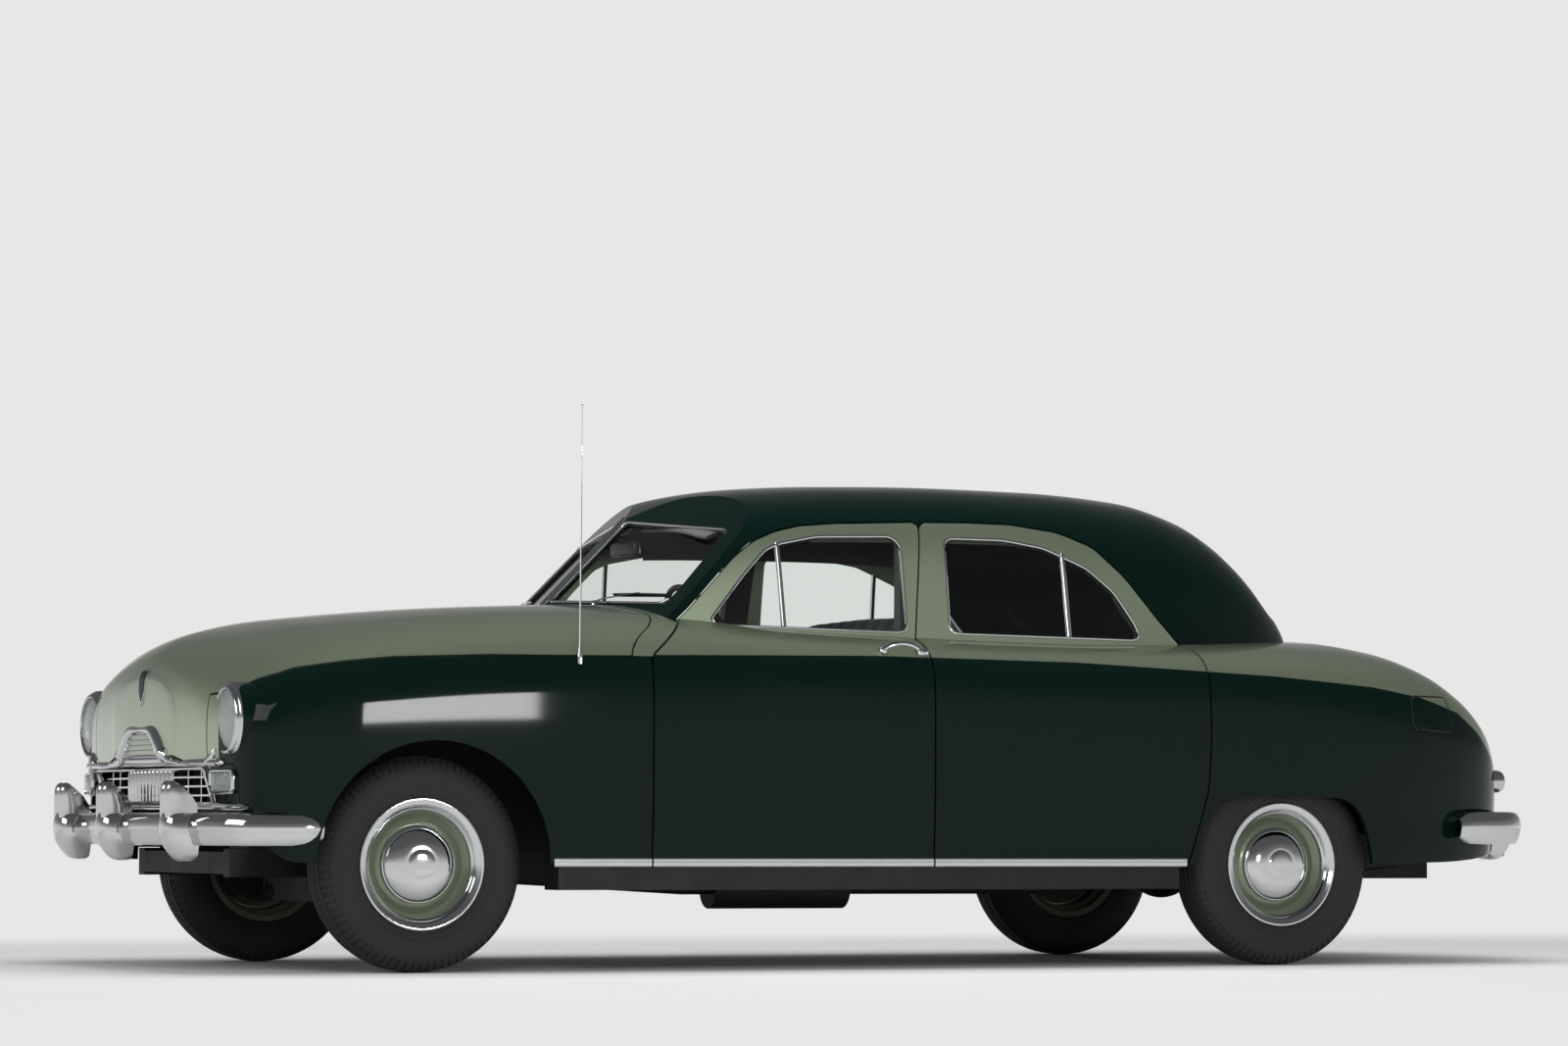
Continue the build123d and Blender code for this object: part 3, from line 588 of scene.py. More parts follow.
def frames(path, up, closed_path):
    """The across and up directions of a section that follows a path."""
    count = len(path)
    result = []
    for i, point in enumerate(path):
        if closed_path:
            before, after = path[i - 1], path[(i + 1) % count]
        else:
            before, after = path[max(i - 1, 0)], path[min(i + 1, count - 1)]
        along = (after - before).normalized()
        raised = Vector(up[i]) if len(up) == count and not isinstance(up[0], float) else Vector(up)
        across = along.cross(raised).normalized()
        result.append((point, across, across.cross(along).normalized()))
    return result


def swept(name, path, section, up=(0.0, 0.0, 1.0), closed_path=False, sizes=None, angle=35):
    """A section of (across, up) points extruded along a path, station by station."""
    path = [Vector((p[0] + AXLE, p[1], p[2])) for p in path]
    rings = []
    for i, (point, across, raised) in enumerate(frames(path, up, closed_path)):
        scale = 1.0 if sizes is None else sizes[i]
        wide, tall = scale if isinstance(scale, tuple) else (scale, scale)
        rings.append([point + across * (a * wide) + raised * (b * tall) for a, b in section])
    return lofted(name, rings, closed_path, angle)


def lofted(name, rings, closed_path=False, angle=35):
    """A ring of edges extruded through a row of rings, then capped or joined end to end."""
    count = len(rings[0])
    fresh()
    bpy.ops.mesh.primitive_circle_add(vertices=count, radius=0.01)
    piece = bpy.context.object
    bpy.ops.object.mode_set(mode="EDIT")
    bm = bmesh.from_edit_mesh(piece.data)
    ring = sorted(bm.verts, key=lambda v: v.index)
    first = list(ring)
    for i, points in enumerate(rings):
        if i:
            bpy.ops.mesh.extrude_edges_indiv()
            bm = bmesh.from_edit_mesh(piece.data)
            new = []
            for vert in ring:
                new.append(next(e.other_vert(vert) for e in vert.link_edges if e.other_vert(vert).select))
            ring = new
        for vert, point in zip(ring, points):
            vert.co = point
    if closed_path:
        for vert in first + ring:
            vert.select = True
        bm.select_flush_mode()
        for edge in bm.edges:
            edge.select = edge.verts[0].select and edge.verts[1].select
        bpy.ops.mesh.bridge_edge_loops()
    else:
        for loop in (first, ring):
            bpy.ops.mesh.select_all(action="DESELECT")
            for vert in loop:
                vert.select = True
            bm.select_flush_mode()
            bpy.ops.mesh.edge_face_add()
    outward()
    return settled(name, angle)


def oval(half_wide, half_tall, count=12, power=2.0):
    """A section of superellipse form, (across, up)."""
    points = []
    for k in range(count):
        a = 2 * math.pi * k / count
        c, s = math.cos(a), math.sin(a)
        points.append((half_wide * math.copysign(abs(c) ** (2 / power), c),
                       half_tall * math.copysign(abs(s) ** (2 / power), s)))
    return points


BLOCK_ANGLE = 40


def block(name, low, high, bevel=0.004, segments=3, shape=None):
    """A rounded block between two corners, its vertices moved by shape where one is given."""
    fresh()
    low, high = Vector(low), Vector(high)
    middle = (low + high) / 2
    bpy.ops.mesh.primitive_cube_add(size=1, location=(middle.x + AXLE, middle.y, middle.z))
    piece = bpy.context.object
    piece.scale = high - low
    bpy.ops.object.transform_apply(location=True, rotation=True, scale=True)
    if shape:
        bpy.ops.object.mode_set(mode="EDIT")
        bpy.ops.mesh.select_all(action="SELECT")
        bpy.ops.mesh.subdivide(number_cuts=shape[0])
        bpy.ops.object.mode_set(mode="OBJECT")
        for vert in piece.data.vertices:
            moved = shape[1](vert.co.x - AXLE, vert.co.y, vert.co.z)
            vert.co = (moved[0] + AXLE, moved[1], moved[2])
    if bevel:
        applied(piece, "BEVEL", width=bevel, segments=segments, limit_method="ANGLE",
                angle_limit=math.radians(BLOCK_ANGLE))
    choose(piece)
    return settled(name, BLOCK_ANGLE)


# Sizes and colours that a user may change


def colour(name, description, value):
    return bpy.props.FloatVectorProperty(name=name, description=description, default=value, subtype="COLOR",
                                         size=3, min=0.0, max=1.0)


def length(name, description, value):
    return bpy.props.FloatProperty(name=name, description=description, default=value, unit="LENGTH",
                                   min=0.0)


def share_of_one(name, description, value):
    return bpy.props.FloatProperty(name=name, description=description, default=value, subtype="FACTOR",
                                   min=0.0, max=1.0)


class SedanSettings(bpy.types.PropertyGroup):
    dark_paint: colour("Dark paint", "Lower body and roof", (0.0016, 0.0075, 0.006))
    light_paint: colour("Light paint", "Hood, belt, window frames and trunk", (0.34, 0.405, 0.28))
    seat_cloth: colour("Seat cloth", "Bench seats", (0.02, 0.032, 0.032))
    trim_cloth: colour("Trim cloth", "Door cards", (0.235, 0.18, 0.115))
    headliner: colour("Headliner", "Cloth under the roof", (0.035, 0.034, 0.03))
    glass_tint: colour("Glass tint", "Colour that the windows let through", (0.97, 0.985, 0.975))
    chrome_tone: colour("Chrome", "Bright trim", (0.62, 0.63, 0.64))
    chrome_gloss: share_of_one("Chrome roughness", "Polish of the bright trim", 0.07)
    tread_depth: length("Tread depth", "Depth of the grooves round each tyre", 0.006)
    moulding: length("Moulding height", "Height of the chrome strips round the windows", 0.009)
    cushion_fill: share_of_one("Cushion fill", "How tight the seats are", 0.7)
    floor_tone: colour("Floor", "Studio floor and backdrop", (0.62, 0.62, 0.61))
    lamp_power: bpy.props.FloatProperty(name="Lamp power", description="Level of the softboxes",
                                        default=1.0, min=0.0)


# Finishes


def operator(operation, swapped=False):
    """An arithmetic operator between a socket and a number or another socket."""
    def apply(self, other):
        return self.math(operation, *((other, self) if swapped else (self, other)))
    return apply


class Shade:
    """One socket of a finish, so that patterns read as sums and products."""

    def __init__(self, finish, socket):
        self.finish, self.socket = finish, socket

    def math(self, operation, a, b=None, clamp=False):
        inputs = {0: a} if b is None else {0: a, 1: b}
        return self.finish.node("ShaderNodeMath", {"operation": operation, "use_clamp": clamp}, inputs)

    __add__, __radd__ = operator("ADD"), operator("ADD", True)
    __sub__, __rsub__ = operator("SUBTRACT"), operator("SUBTRACT", True)
    __mul__, __rmul__ = operator("MULTIPLY"), operator("MULTIPLY", True)
    __truediv__, __pow__ = operator("DIVIDE"), operator("POWER")

    def clamped(self):
        return self.math("ADD", self, 0.0, clamp=True)

    def sine(self):
        return self.math("SINE", self)

    def step(self, low, high):
        """Smoothly 0 below low and 1 above high."""
        settings = {"interpolation_type": "SMOOTHSTEP"}
        return self.finish.node("ShaderNodeMapRange", settings, {0: self, 1: low, 2: high, 3: 0.0, 4: 1.0})


class Finish:
    """A procedural material under construction."""

    def __init__(self, name):
        self.material = bpy.data.materials.new(name)
        self.material.use_nodes = True
        self.tree = self.material.node_tree
        self.tree.nodes.clear()
        self.place = self.node("ShaderNodeTexCoord", output="Object")

    def node(self, kind, settings=None, inputs=None, output=0):
        node = self.tree.nodes.new(kind)
        for key, value in (settings or {}).items():
            setattr(node, key, value)
        for key, value in (inputs or {}).items():
            if isinstance(value, Shade):
                self.tree.links.new(value.socket, node.inputs[key])
            else:
                node.inputs[key].default_value = value
        return None if output is None else Shade(self, node.outputs[output])

    def noise(self, scale, detail=2.0, rough=0.5):
        inputs = {"Vector": self.place, "Scale": scale, "Detail": detail, "Roughness": rough}
        return self.node("ShaderNodeTexNoise", None, inputs)

    def cells(self, scale):
        return self.node("ShaderNodeTexVoronoi", None, {"Vector": self.place, "Scale": scale})

    def axes(self):
        split = self.node("ShaderNodeSeparateXYZ", None, {0: self.place})
        outputs = split.socket.node.outputs
        return [Shade(self, outputs[i]) for i in range(3)]

    def mix(self, factor, a, b):
        """A colour between two colours."""
        return self.node("ShaderNodeMix", {"data_type": "RGBA"}, {0: factor, 6: a, 7: b}, output=2)

    def bump(self, height, distance, strength):
        inputs = {"Height": height, "Distance": distance, "Strength": strength}
        return self.node("ShaderNodeBump", None, inputs)

    def outer_fresnel(self, ior):
        """Reflection of a thin pane, on the faces that look towards the light's way in only."""
        inner = self.node("ShaderNodeNewGeometry", output="Backfacing")
        return self.node("ShaderNodeFresnel", None, {"IOR": ior}) * (1.0 - inner)

    def surface(self, **inputs):
        named = {key.replace("_", " "): value for key, value in inputs.items()}
        return self.node("ShaderNodeBsdfPrincipled", None, named)

    def done(self, surface):
        self.node("ShaderNodeOutputMaterial", None, {"Surface": surface}, output=None)
        return self.material


FINISHES = {}


def tone(value, share=1.0):
    return (value[0] * share, value[1] * share, value[2] * share, 1.0)


def dark_paint(settings):
    f = Finish("dark_green_paint")
    base = settings.dark_paint
    cloud = f.noise(2.2, 3.0)
    flake = f.noise(900.0, 1.0)
    skin = f.bump(f.noise(260.0, 2.0), 0.00004, 0.5)
    return f.done(f.surface(Base_Color=f.mix(flake, tone(base, 0.85), tone(base, 1.25)), Metallic=0.0,
                            Roughness=0.3 + cloud * 0.06, Specular_IOR_Level=0.0, Coat_Weight=1.0,
                            Coat_IOR=1.24, Coat_Roughness=0.05, Normal=skin))


def light_paint(settings):
    f = Finish("sage_metallic_paint")
    base = settings.light_paint
    flake = f.cells(1400.0)
    cloud = f.noise(1.7, 2.0)
    skin = f.bump(f.noise(240.0, 2.0), 0.00004, 0.5)
    return f.done(f.surface(Base_Color=f.mix(flake, tone(base, 0.9), tone(base, 1.12)), Metallic=0.85,
                            Roughness=0.32 + cloud * 0.06, Coat_Weight=1.0, Coat_Roughness=0.04,
                            Normal=skin))


def wheel_paint(settings):
    f = Finish("wheel_green_paint")
    base = settings.light_paint
    dust = f.noise(14.0, 4.0, 0.6).step(0.52, 0.75)
    skin = f.bump(f.noise(300.0, 2.0), 0.00005, 0.6)
    # The wheels use the light body paint at half its brightness: this is painted shade of the wheel arches,
    # not a darker paint. The brownish-grey spots are dust.
    return f.done(f.surface(Base_Color=f.mix(dust * 0.35, tone(base, 0.5), (0.14, 0.13, 0.11, 1.0)),
                            Metallic=0.3, Roughness=0.32 + dust * 0.2, Coat_Weight=0.7, Coat_Roughness=0.08,
                            Normal=skin))


def chrome(settings):
    f = Finish("chrome_plate")
    base = settings.chrome_tone
    cloud = f.noise(9.0, 3.0)
    scuff = f.noise(70.0, 4.0, 0.7).step(0.62, 0.8)
    ripple = f.bump(f.noise(26.0, 1.0), 0.0004, 0.12)
    return f.done(f.surface(Base_Color=f.mix(cloud, tone(base, 0.94), tone(base, 1.04)), Metallic=1.0,
                            Roughness=settings.chrome_gloss + scuff * 0.08 + cloud * 0.03, Normal=ripple))


def rubber():
    f = Finish("tyre_rubber")
    grain = f.noise(420.0, 3.0, 0.6)
    worn = f.noise(9.0, 4.0, 0.6)
    base = f.mix(worn, (0.008, 0.008, 0.0085, 1.0), (0.017, 0.0165, 0.016, 1.0))
    return f.done(f.surface(Base_Color=base, Metallic=0.0, Roughness=0.62 + worn * 0.18,
                            Normal=f.bump(grain, 0.0002, 0.7)))


def black_metal():
    f = Finish("chassis_black")
    worn = f.noise(6.0, 5.0, 0.65)
    dust = f.noise(2.5, 4.0, 0.6).step(0.5, 0.8)
    base = f.mix(dust * 0.3, (0.006, 0.006, 0.006, 1.0), (0.035, 0.031, 0.026, 1.0))
    return f.done(f.surface(Base_Color=base, Metallic=0.2, Roughness=0.45 + worn * 0.3,
                            Normal=f.bump(f.noise(180.0, 3.0), 0.0003, 0.6)))


def engine_enamel():
    f = Finish("engine_enamel")
    worn = f.noise(8.0, 5.0, 0.65)
    base = f.mix(worn, (0.03, 0.045, 0.04, 1.0), (0.055, 0.07, 0.06, 1.0))
    return f.done(f.surface(Base_Color=base, Metallic=0.1, Roughness=0.4 + worn * 0.25,
                            Normal=f.bump(f.noise(120.0, 3.0), 0.0005, 0.6)))


def window_glass(settings):
    f = Finish("window_glass")
    gloss = f.node("ShaderNodeBsdfGlossy", None, {"Color": (0.95, 0.97, 0.96, 1.0), "Roughness": 0.015})
    through = f.node("ShaderNodeBsdfTransparent", None, {"Color": tone(settings.glass_tint)})
    mixed = f.node("ShaderNodeMixShader", None, {0: f.outer_fresnel(1.45), 1: through, 2: gloss})
    return f.done(mixed)


def lamp_glass():
    f = Finish("lamp_lens_glass")
    flutes = (f.axes()[1] * 2 * math.pi / 0.0095).sine() * 0.5 + 0.5
    normal = f.bump(flutes, 0.0012, 0.9)
    shine = {"Color": (0.97, 0.98, 0.98, 1.0), "Roughness": 0.05, "Normal": normal}
    gloss = f.node("ShaderNodeBsdfGlossy", None, shine)
    through = f.node("ShaderNodeBsdfTransparent", None, {"Color": (0.9, 0.93, 0.92, 1.0)})
    milk = f.surface(Base_Color=(0.5, 0.53, 0.53, 1.0), Metallic=0.0, Roughness=0.18, Normal=normal)
    body = f.node("ShaderNodeMixShader", None, {0: 0.42, 1: through, 2: milk})
    return f.done(f.node("ShaderNodeMixShader", None, {0: f.outer_fresnel(1.45), 1: body, 2: gloss}))


def red_lens():
    f = Finish("red_lens")
    ribs = (f.axes()[2] * 2 * math.pi / 0.008).sine() * 0.5 + 0.5
    base = f.mix(ribs, (0.3, 0.006, 0.004, 1.0), (0.48, 0.012, 0.008, 1.0))
    return f.done(f.surface(Base_Color=base, Metallic=0.0, Roughness=0.12, Coat_Weight=1.0,
                            Coat_Roughness=0.03, Normal=f.bump(ribs, 0.0008, 0.8)))


# Distance between threads
PITCH = 0.0016


def woven(name, base, fade=0.25):
    f = Finish(name)
    x, y, z = f.axes()
    across = ((x + z * 0.35) * 2 * math.pi / PITCH).sine() * 0.5 + 0.5
    along = (y * 2 * math.pi / PITCH).sine() * 0.5 + 0.5
    weave = across * along
    worn = f.noise(5.0, 4.0, 0.6)
    thread = f.mix(weave, tone(base, 0.75), tone(base, 1.2))
    body = f.mix(worn * fade, thread, tone(base, 1.6))
    return f.done(f.surface(Base_Color=body, Metallic=0.0, Roughness=0.82 + worn * 0.12, Sheen_Weight=0.3,
                            Normal=f.bump(weave, 0.0004, 0.7)))


def hard_trim(name, base, rough=0.35):
    f = Finish(name)
    grain = f.noise(380.0, 2.0)
    worn = f.noise(6.0, 3.0)
    return f.done(f.surface(Base_Color=f.mix(worn, tone(base, 0.85), tone(base, 1.15)), Metallic=0.0,
                            Roughness=rough + worn * 0.12, Coat_Weight=0.3, Coat_Roughness=0.15,
                            Normal=f.bump(grain, 0.00015, 0.5)))


def dial_face():
    f = Finish("instrument_faces")
    rays = f.noise(60.0, 2.0)
    return f.done(f.surface(Base_Color=f.mix(rays, (0.42, 0.4, 0.34, 1.0), (0.55, 0.52, 0.44, 1.0)),
                            Metallic=0.0, Roughness=0.35 + rays * 0.1))


def mirror_glass():
    f = Finish("mirror_silver")
    haze = f.noise(12.0, 2.0)
    return f.done(f.surface(Base_Color=(0.85, 0.86, 0.86, 1.0), Metallic=1.0, Roughness=0.03 + haze * 0.03))


def mix_finishes(settings):
    FINISHES.clear()
    FINISHES.update(
        dark=dark_paint(settings), light=light_paint(settings), wheel=wheel_paint(settings),
        chrome=chrome(settings), rubber=rubber(), black=black_metal(), engine=engine_enamel(),
        glass=window_glass(settings), lens=lamp_glass(), red=red_lens(),
        cloth=woven("seat_cloth", settings.seat_cloth),
        card=woven("door_card_cloth", settings.trim_cloth, fade=0.15),
        liner=woven("headliner_cloth", settings.headliner, fade=0.1),
        dash=hard_trim("dashboard_enamel", (0.03, 0.042, 0.036), 0.3),
        plastic=hard_trim("steering_wheel_plastic", (0.012, 0.013, 0.012), 0.22),
        seal=hard_trim("rubber_seal", (0.01, 0.01, 0.01), 0.55),
        dial=dial_face(), mirror=mirror_glass())


# Lines that part the panels

ARCH = [(ARCH_CENTRE[0] + ARCH_RADIUS * math.cos(a), ARCH_CENTRE[1] + ARCH_RADIUS * math.sin(a))
        for a in np.linspace(-0.6, math.pi + 0.6, 61)]
DOOR_ROUND, WINDOW_ROUND, ARCH_ROUND = 0.03, 0.022, 0.05
DOOR_OUTLINES = {"front": rounded(FRONT_DOOR, DOOR_ROUND), "rear": rounded(REAR_DOOR, DOOR_ROUND)}
WINDOWS = {"front": rounded(FRONT_WINDOW, WINDOW_ROUND), "rear": rounded(REAR_WINDOW, WINDOW_ROUND)}
SOFT_REAR_ARCH = rounded(REAR_ARCH, ARCH_ROUND)
SOFT_HOOD_REAR = rounded(HOOD_REAR, ARCH_ROUND, closed=False)
# Points round each section of the two surfaces
BODY_COLUMNS, CABIN_COLUMNS = 96, 76
ROWS = stations(BODY[-1][0], BODY[0][0])
BODY_POINTS, BODY_NORMALS = surface(body_section, ROWS, BODY_COLUMNS, nose=True, tail=True)
CABIN_ROWS = [*np.arange(CABIN_REAR, -3.0, 0.012), *np.arange(-3.0, -0.72, 0.022), CABIN_FRONT]
CABIN_POINTS, CABIN_NORMALS = surface(cabin_section, CABIN_ROWS, CABIN_COLUMNS)
SIDES = (("left", False), ("right", True))


def part_of(points, normals, low, high):
    """The stretch of a surface between two stations, with one row to spare at each end."""
    xs = points[:, 0, 0]
    rows = np.nonzero((xs >= low) & (xs <= high))[0]
    first, last = max(rows[0] - 1, 0), min(rows[-1] + 1, len(xs) - 1)
    return Skin(points[first:last + 1], normals[first:last + 1])


def body_skin(low, high):
    return part_of(BODY_POINTS, BODY_NORMALS, low, high)


def cabin_skin(low, high):
    return part_of(CABIN_POINTS, CABIN_NORMALS, low, high)


def side(centres):
    return centres[:, [0, 2]]


def top(centres):
    return centres[:, [0, 1]]


def front(centres):
    return centres[:, [1, 2]]


def ahead_of(x):
    """A test that holds for what lies in front of a station."""
    return lambda centres: centres[:, 0] > x


def lowered(line, drop):
    return [(x, z - drop) for x, z in line]


def at_line(values, line):
    """Heights of a line, given from right to left, at these places."""
    line = np.array(line)[::-1]
    return np.interp(values, line[:, 0], line[:, 1])


def screen_side(centres):
    """Distance in front of the windscreen's plane along X."""
    x, y, z = centres.T
    return x - SCREEN_X + (z - SCREEN_Z) * SCREEN_RAKE - SCREEN_SWEEP * np.abs(y)


def two_tone(skin):
    """Light paint above the line along the belt."""
    skin.trace(TWO_TONE, "side")
    skin.paint(lambda c: c[:, 2] > at_line(c[:, 0], TWO_TONE), 1)


def both_sides(skin, name, depth, body, slot, finishes, instead, offset=0.0):
    """Makes the left piece and the right piece of one skin; body and instead hold a place for the side."""
    pieces = []
    for label, mirrored in SIDES:
        piece = skin.solid(f"{name}_{label}", depth, offset, mirrored)
        nodes = [node.format(side=label) for node in instead]
        pieces.append(seat(piece, body.format(side=label), slot, *finishes, instead=nodes))
    return pieces


def whole(skin, name, depth, body, slot, finishes, instead=(), offset=0.0):
    skin.mirror_whole()
    return seat(skin.solid(name, depth, offset), body, slot, *finishes, instead=instead)


def panel_edge(grow, low_half=0.0):
    """The rounded upper corner of the front panel seen from the front, (y, z)."""
    half, top_ = PANEL_HALF + grow, PANEL_TOP + grow
    return rounded([(half, 0.3), (half, top_), (low_half, top_)], 0.045, closed=False)


def fenders():
    skin = body_skin(-0.755, NOSE_END)
    skin.drop(lambda c: c[:, 2] > 1.05)
    skin.trace(lowered(FENDER_TOP, GAP), "side")
    skin.trace(ARCH, "side")
    skin.trace([(FENDER_REAR, 0.2), (FENDER_REAR, 1.1)], "side")
    skin.trace([(-0.755, COWL_BOTTOM), (FENDER_STEP, COWL_BOTTOM)], "side")
    in_front = ahead_of(0.4)
    edge = NOSE_HALF + GAP
    skin.trace([(edge, 0.3), (edge, 1.1)], "front", in_front)
    skin.trace([(0.65, 0.64), (0.65, 1.1)], "front", in_front)
    corner = panel_edge(0.003, 0.4)
    skin.trace(corner, "front", in_front)

    def outside(c):
        x, y, z = c.T
        nose = (x > 0.42) & (y < edge) & (z > 0.652)
        panel = (x > 0.38) & inside(front(c), np.vstack([corner, [(0.4, 0.3)]]))
        over = z > at_line(x, lowered(FENDER_TOP, GAP))
        wheel = np.hypot(x - ARCH_CENTRE[0], z - ARCH_CENTRE[1]) < ARCH_RADIUS
        return nose | panel | over | wheel | (x < FENDER_REAR) | ((x < FENDER_STEP) & (z > COWL_BOTTOM))

    skin.drop(outside)
    skin.paint(lambda c: (c[:, 0] > 0.4) & (c[:, 1] < 0.65) & (c[:, 2] > 0.65), 1)
    both_sides(skin, "fender_panel", SKIN_DEPTH, "body", "paint_dark", ("dark", "light"),
               ("front_fender_{side}",))


def hood_panel():
    skin = body_skin(-0.83, NOSE_END)
    skin.drop(lambda c: (c[:, 2] < 0.6) | ((c[:, 2] < 0.84) & (c[:, 0] < 0.4)))
    skin.trace(FENDER_TOP, "side")
    skin.trace(SOFT_HOOD_REAR, "top")
    in_front = ahead_of(0.4)
    skin.trace([(NOSE_HALF, 0.6), (NOSE_HALF, 1.0)], "front", in_front)
    skin.trace([(0.0, NOSE_BOTTOM), (NOSE_HALF + 0.05, NOSE_BOTTOM)], "front", in_front)
    rear = np.array(SOFT_HOOD_REAR)

    def outside(c):
        x, y, z = c.T
        nose = (x > 0.42) & (y < NOSE_HALF) & (z > NOSE_BOTTOM)
        over = z > at_line(x, FENDER_TOP)
        behind = x < np.interp(y, rear[:, 1], rear[:, 0])
        return ~(nose | over) | behind

    skin.drop(outside)
    whole(skin, "hood_panel", SKIN_DEPTH, "hood", "paint_light", ("light",), ("hood",))


def cowl_panel():
    skin = body_skin(-1.02, -0.64)
    skin.drop(lambda c: c[:, 2] < 0.98)
    line = np.array(SOFT_HOOD_REAR) - [GAP, 0]
    door = grown(DOOR_OUTLINES["front"], GAP)
    skin.trace(line, "top")
    skin.trace([(-1.0, COWL_BOTTOM), (-0.55, COWL_BOTTOM)], "side")
    skin.trace(closed(door), "side")
    band = [(-0.735, 0.0), (-0.826, 0.56), (-0.862, 0.72), (-0.905, 0.8), (-0.96, 0.88)]
    skin.trace(band, "top")

    def outside(c):
        x, y, z = c.T
        ahead = x > np.interp(y, line[:, 1], line[:, 0])
        return ahead | (z < COWL_BOTTOM) | (inside(side(c), door) & (y > 0.5)) | ((x < -0.95) & (y > 0.7))

    skin.drop(outside)
    rear = np.array(band)
    skin.paint(lambda c: c[:, 0] < np.interp(c[:, 1], rear[:, 1], rear[:, 0]), 1)
    whole(skin, "cowl_panel", SKIN_DEPTH, "body", "paint_light", ("light", "dark"), ("cowl",))
    rim = [(y, z) for y, z in body_section(-0.806, 40) if z > 0.64]
    rim = [(max(y - 0.028, 0.0), z - 0.024) for y, z in rim]
    left = [(0.0, rim[np.argmax([z for y, z in rim])][1])] + sorted(rim, key=lambda p: -p[1])
    tunnel = [(0.835, 0.7), (0.69, 0.62), (0.69, 0.406), (0.152, 0.406), (0.152, 0.512), (0.0, 0.512)]
    left = [p for p in left if p[0] < 0.835] + tunnel
    outline = left + [(-y, z) for y, z in left[::-1] if y > 1e-6]
    wall = plate("firewall", outline, -0.812, -0.8)
    seat(wall, "body", "chassis_black", "dark", instead=("cowl",))


def nose_panel():
    skin = body_skin(0.38, NOSE_END)
    in_front = ahead_of(0.3)
    corner = panel_edge(0.0)
    skin.trace(corner, "front", in_front)
    hole = rounded([(0.0, 0.532), (0.552, 0.532), (0.552, 0.648), (0.0, 0.648)], 0.012, closed=False)
    skin.trace(hole, "front", in_front)

    def outside(c):
        x, y, z = c.T
        mouth = (y < 0.552) & (z > 0.532) & (z < 0.648)
        ring = np.vstack([corner, [(-0.01, PANEL_TOP), (-0.01, 0.3)]])
        return ~inside(front(c), ring) | mouth | (x < 0.38)

    skin.drop(outside)
    whole(skin, "nose_panel", SKIN_DEPTH, "body", "paint_dark", ("dark",), ("front_panel",))


# Hinge line of each door, and how far the belt's rear end may reach from it
HINGES, HINGE_Y = {"front": (-0.75, 1.011), "rear": (-1.765, 1.04)}, 0.931


def door_panels():
    for place, outline in DOOR_OUTLINES.items():
        low, high = outline[:, 0].min(), outline[:, 0].max()
        skin = body_skin(low, high)
        skin.drop(lambda c: c[:, 1] < 0.7)
        skin.trace(closed(outline), "side")
        wall = [(x, CABIN_SECTIONS.at(x)[0] - 0.016) for x in np.linspace(low - 0.03, high + 0.03, 30)]
        skin.trace(wall, "top", lambda c: c[:, 2] > 0.9)
        two_tone(skin)
        xs, ys = np.array(wall).T
        hinge_x, reach = HINGES[place]
        circle = [(hinge_x - reach * math.cos(a), HINGE_Y - reach * math.sin(a))
                  for a in np.linspace(-0.1, 0.35, 24)]
        skin.trace(circle, "top", lambda c: c[:, 2] > 1.0)

        def outside(c):
            x, y, z = c.T
            within = (y < np.interp(x, xs, ys)) & (z > 0.9)
            too_far = (z > 1.0) & (np.hypot(x - hinge_x, y - HINGE_Y) > reach)
            return ~inside(side(c), outline) | within | too_far

        skin.drop(outside)
        node = f"door_{place}_{{side}}"
        both_sides(skin, f"door_{place}_skin", SKIN_DEPTH, node, "paint_dark", ("dark", "light"), (node,))
        upper = cabin_skin(low, high)
        upper.drop(lambda c: (c[:, 1] < 0.45) | (c[:, 2] < BELT_BASE + 0.02))
        window = WINDOWS[place]
        upper.trace(closed(outline), "side")
        upper.trace(closed(window), "side")
        upper.drop(lambda c: ~inside(side(c), outline) | inside(side(c), window) | (c[:, 1] < 0.5))
        both_sides(upper, f"door_{place}_frame", FRAME_DEPTH, node, "paint_light", ("light",), ())


def quarters():
    skin = body_skin(TAIL_END, -2.6)
    door = grown(DOOR_OUTLINES["rear"], GAP)
    skin.drop(lambda c: (c[:, 0] > -2.7) & (c[:, 2] > 0.4) & (c[:, 2] < 1.0) & (c[:, 1] > 0.5))
    skin.trace(closed(door), "side")
    skin.trace(SOFT_REAR_ARCH, "side", lambda c: c[:, 1] > 0.5)
    skin.trace([(REACH_BACK, DECK_HALF), (-2.5, DECK_HALF)], "top")
    flap = rounded([(-3.64, 0.8), (-3.64, 0.926), (-3.83, 0.926), (-3.83, 0.8)], 0.022)
    flap_door = grown(flap, -0.004)
    skin.trace(closed(flap), "side")
    skin.trace(closed(flap_door), "side")
    two_tone(skin)

    def outside(c):
        x, y, z = c.T
        seam = inside(side(c), flap) & ~inside(side(c), flap_door)
        front_of = x > np.interp(z, [0.3, 1.0, 1.2], [-2.72, -2.72, -2.8])
        return (inside(side(c), door) | inside(side(c), SOFT_REAR_ARCH) | (y < DECK_HALF) | seam
                | (front_of & (y > 0.5)))

    skin.drop(outside)
    both_sides(skin, "quarter_panel", SKIN_DEPTH, "body", "paint_dark", ("dark", "light"),
               ("rear_quarter_{side}",))


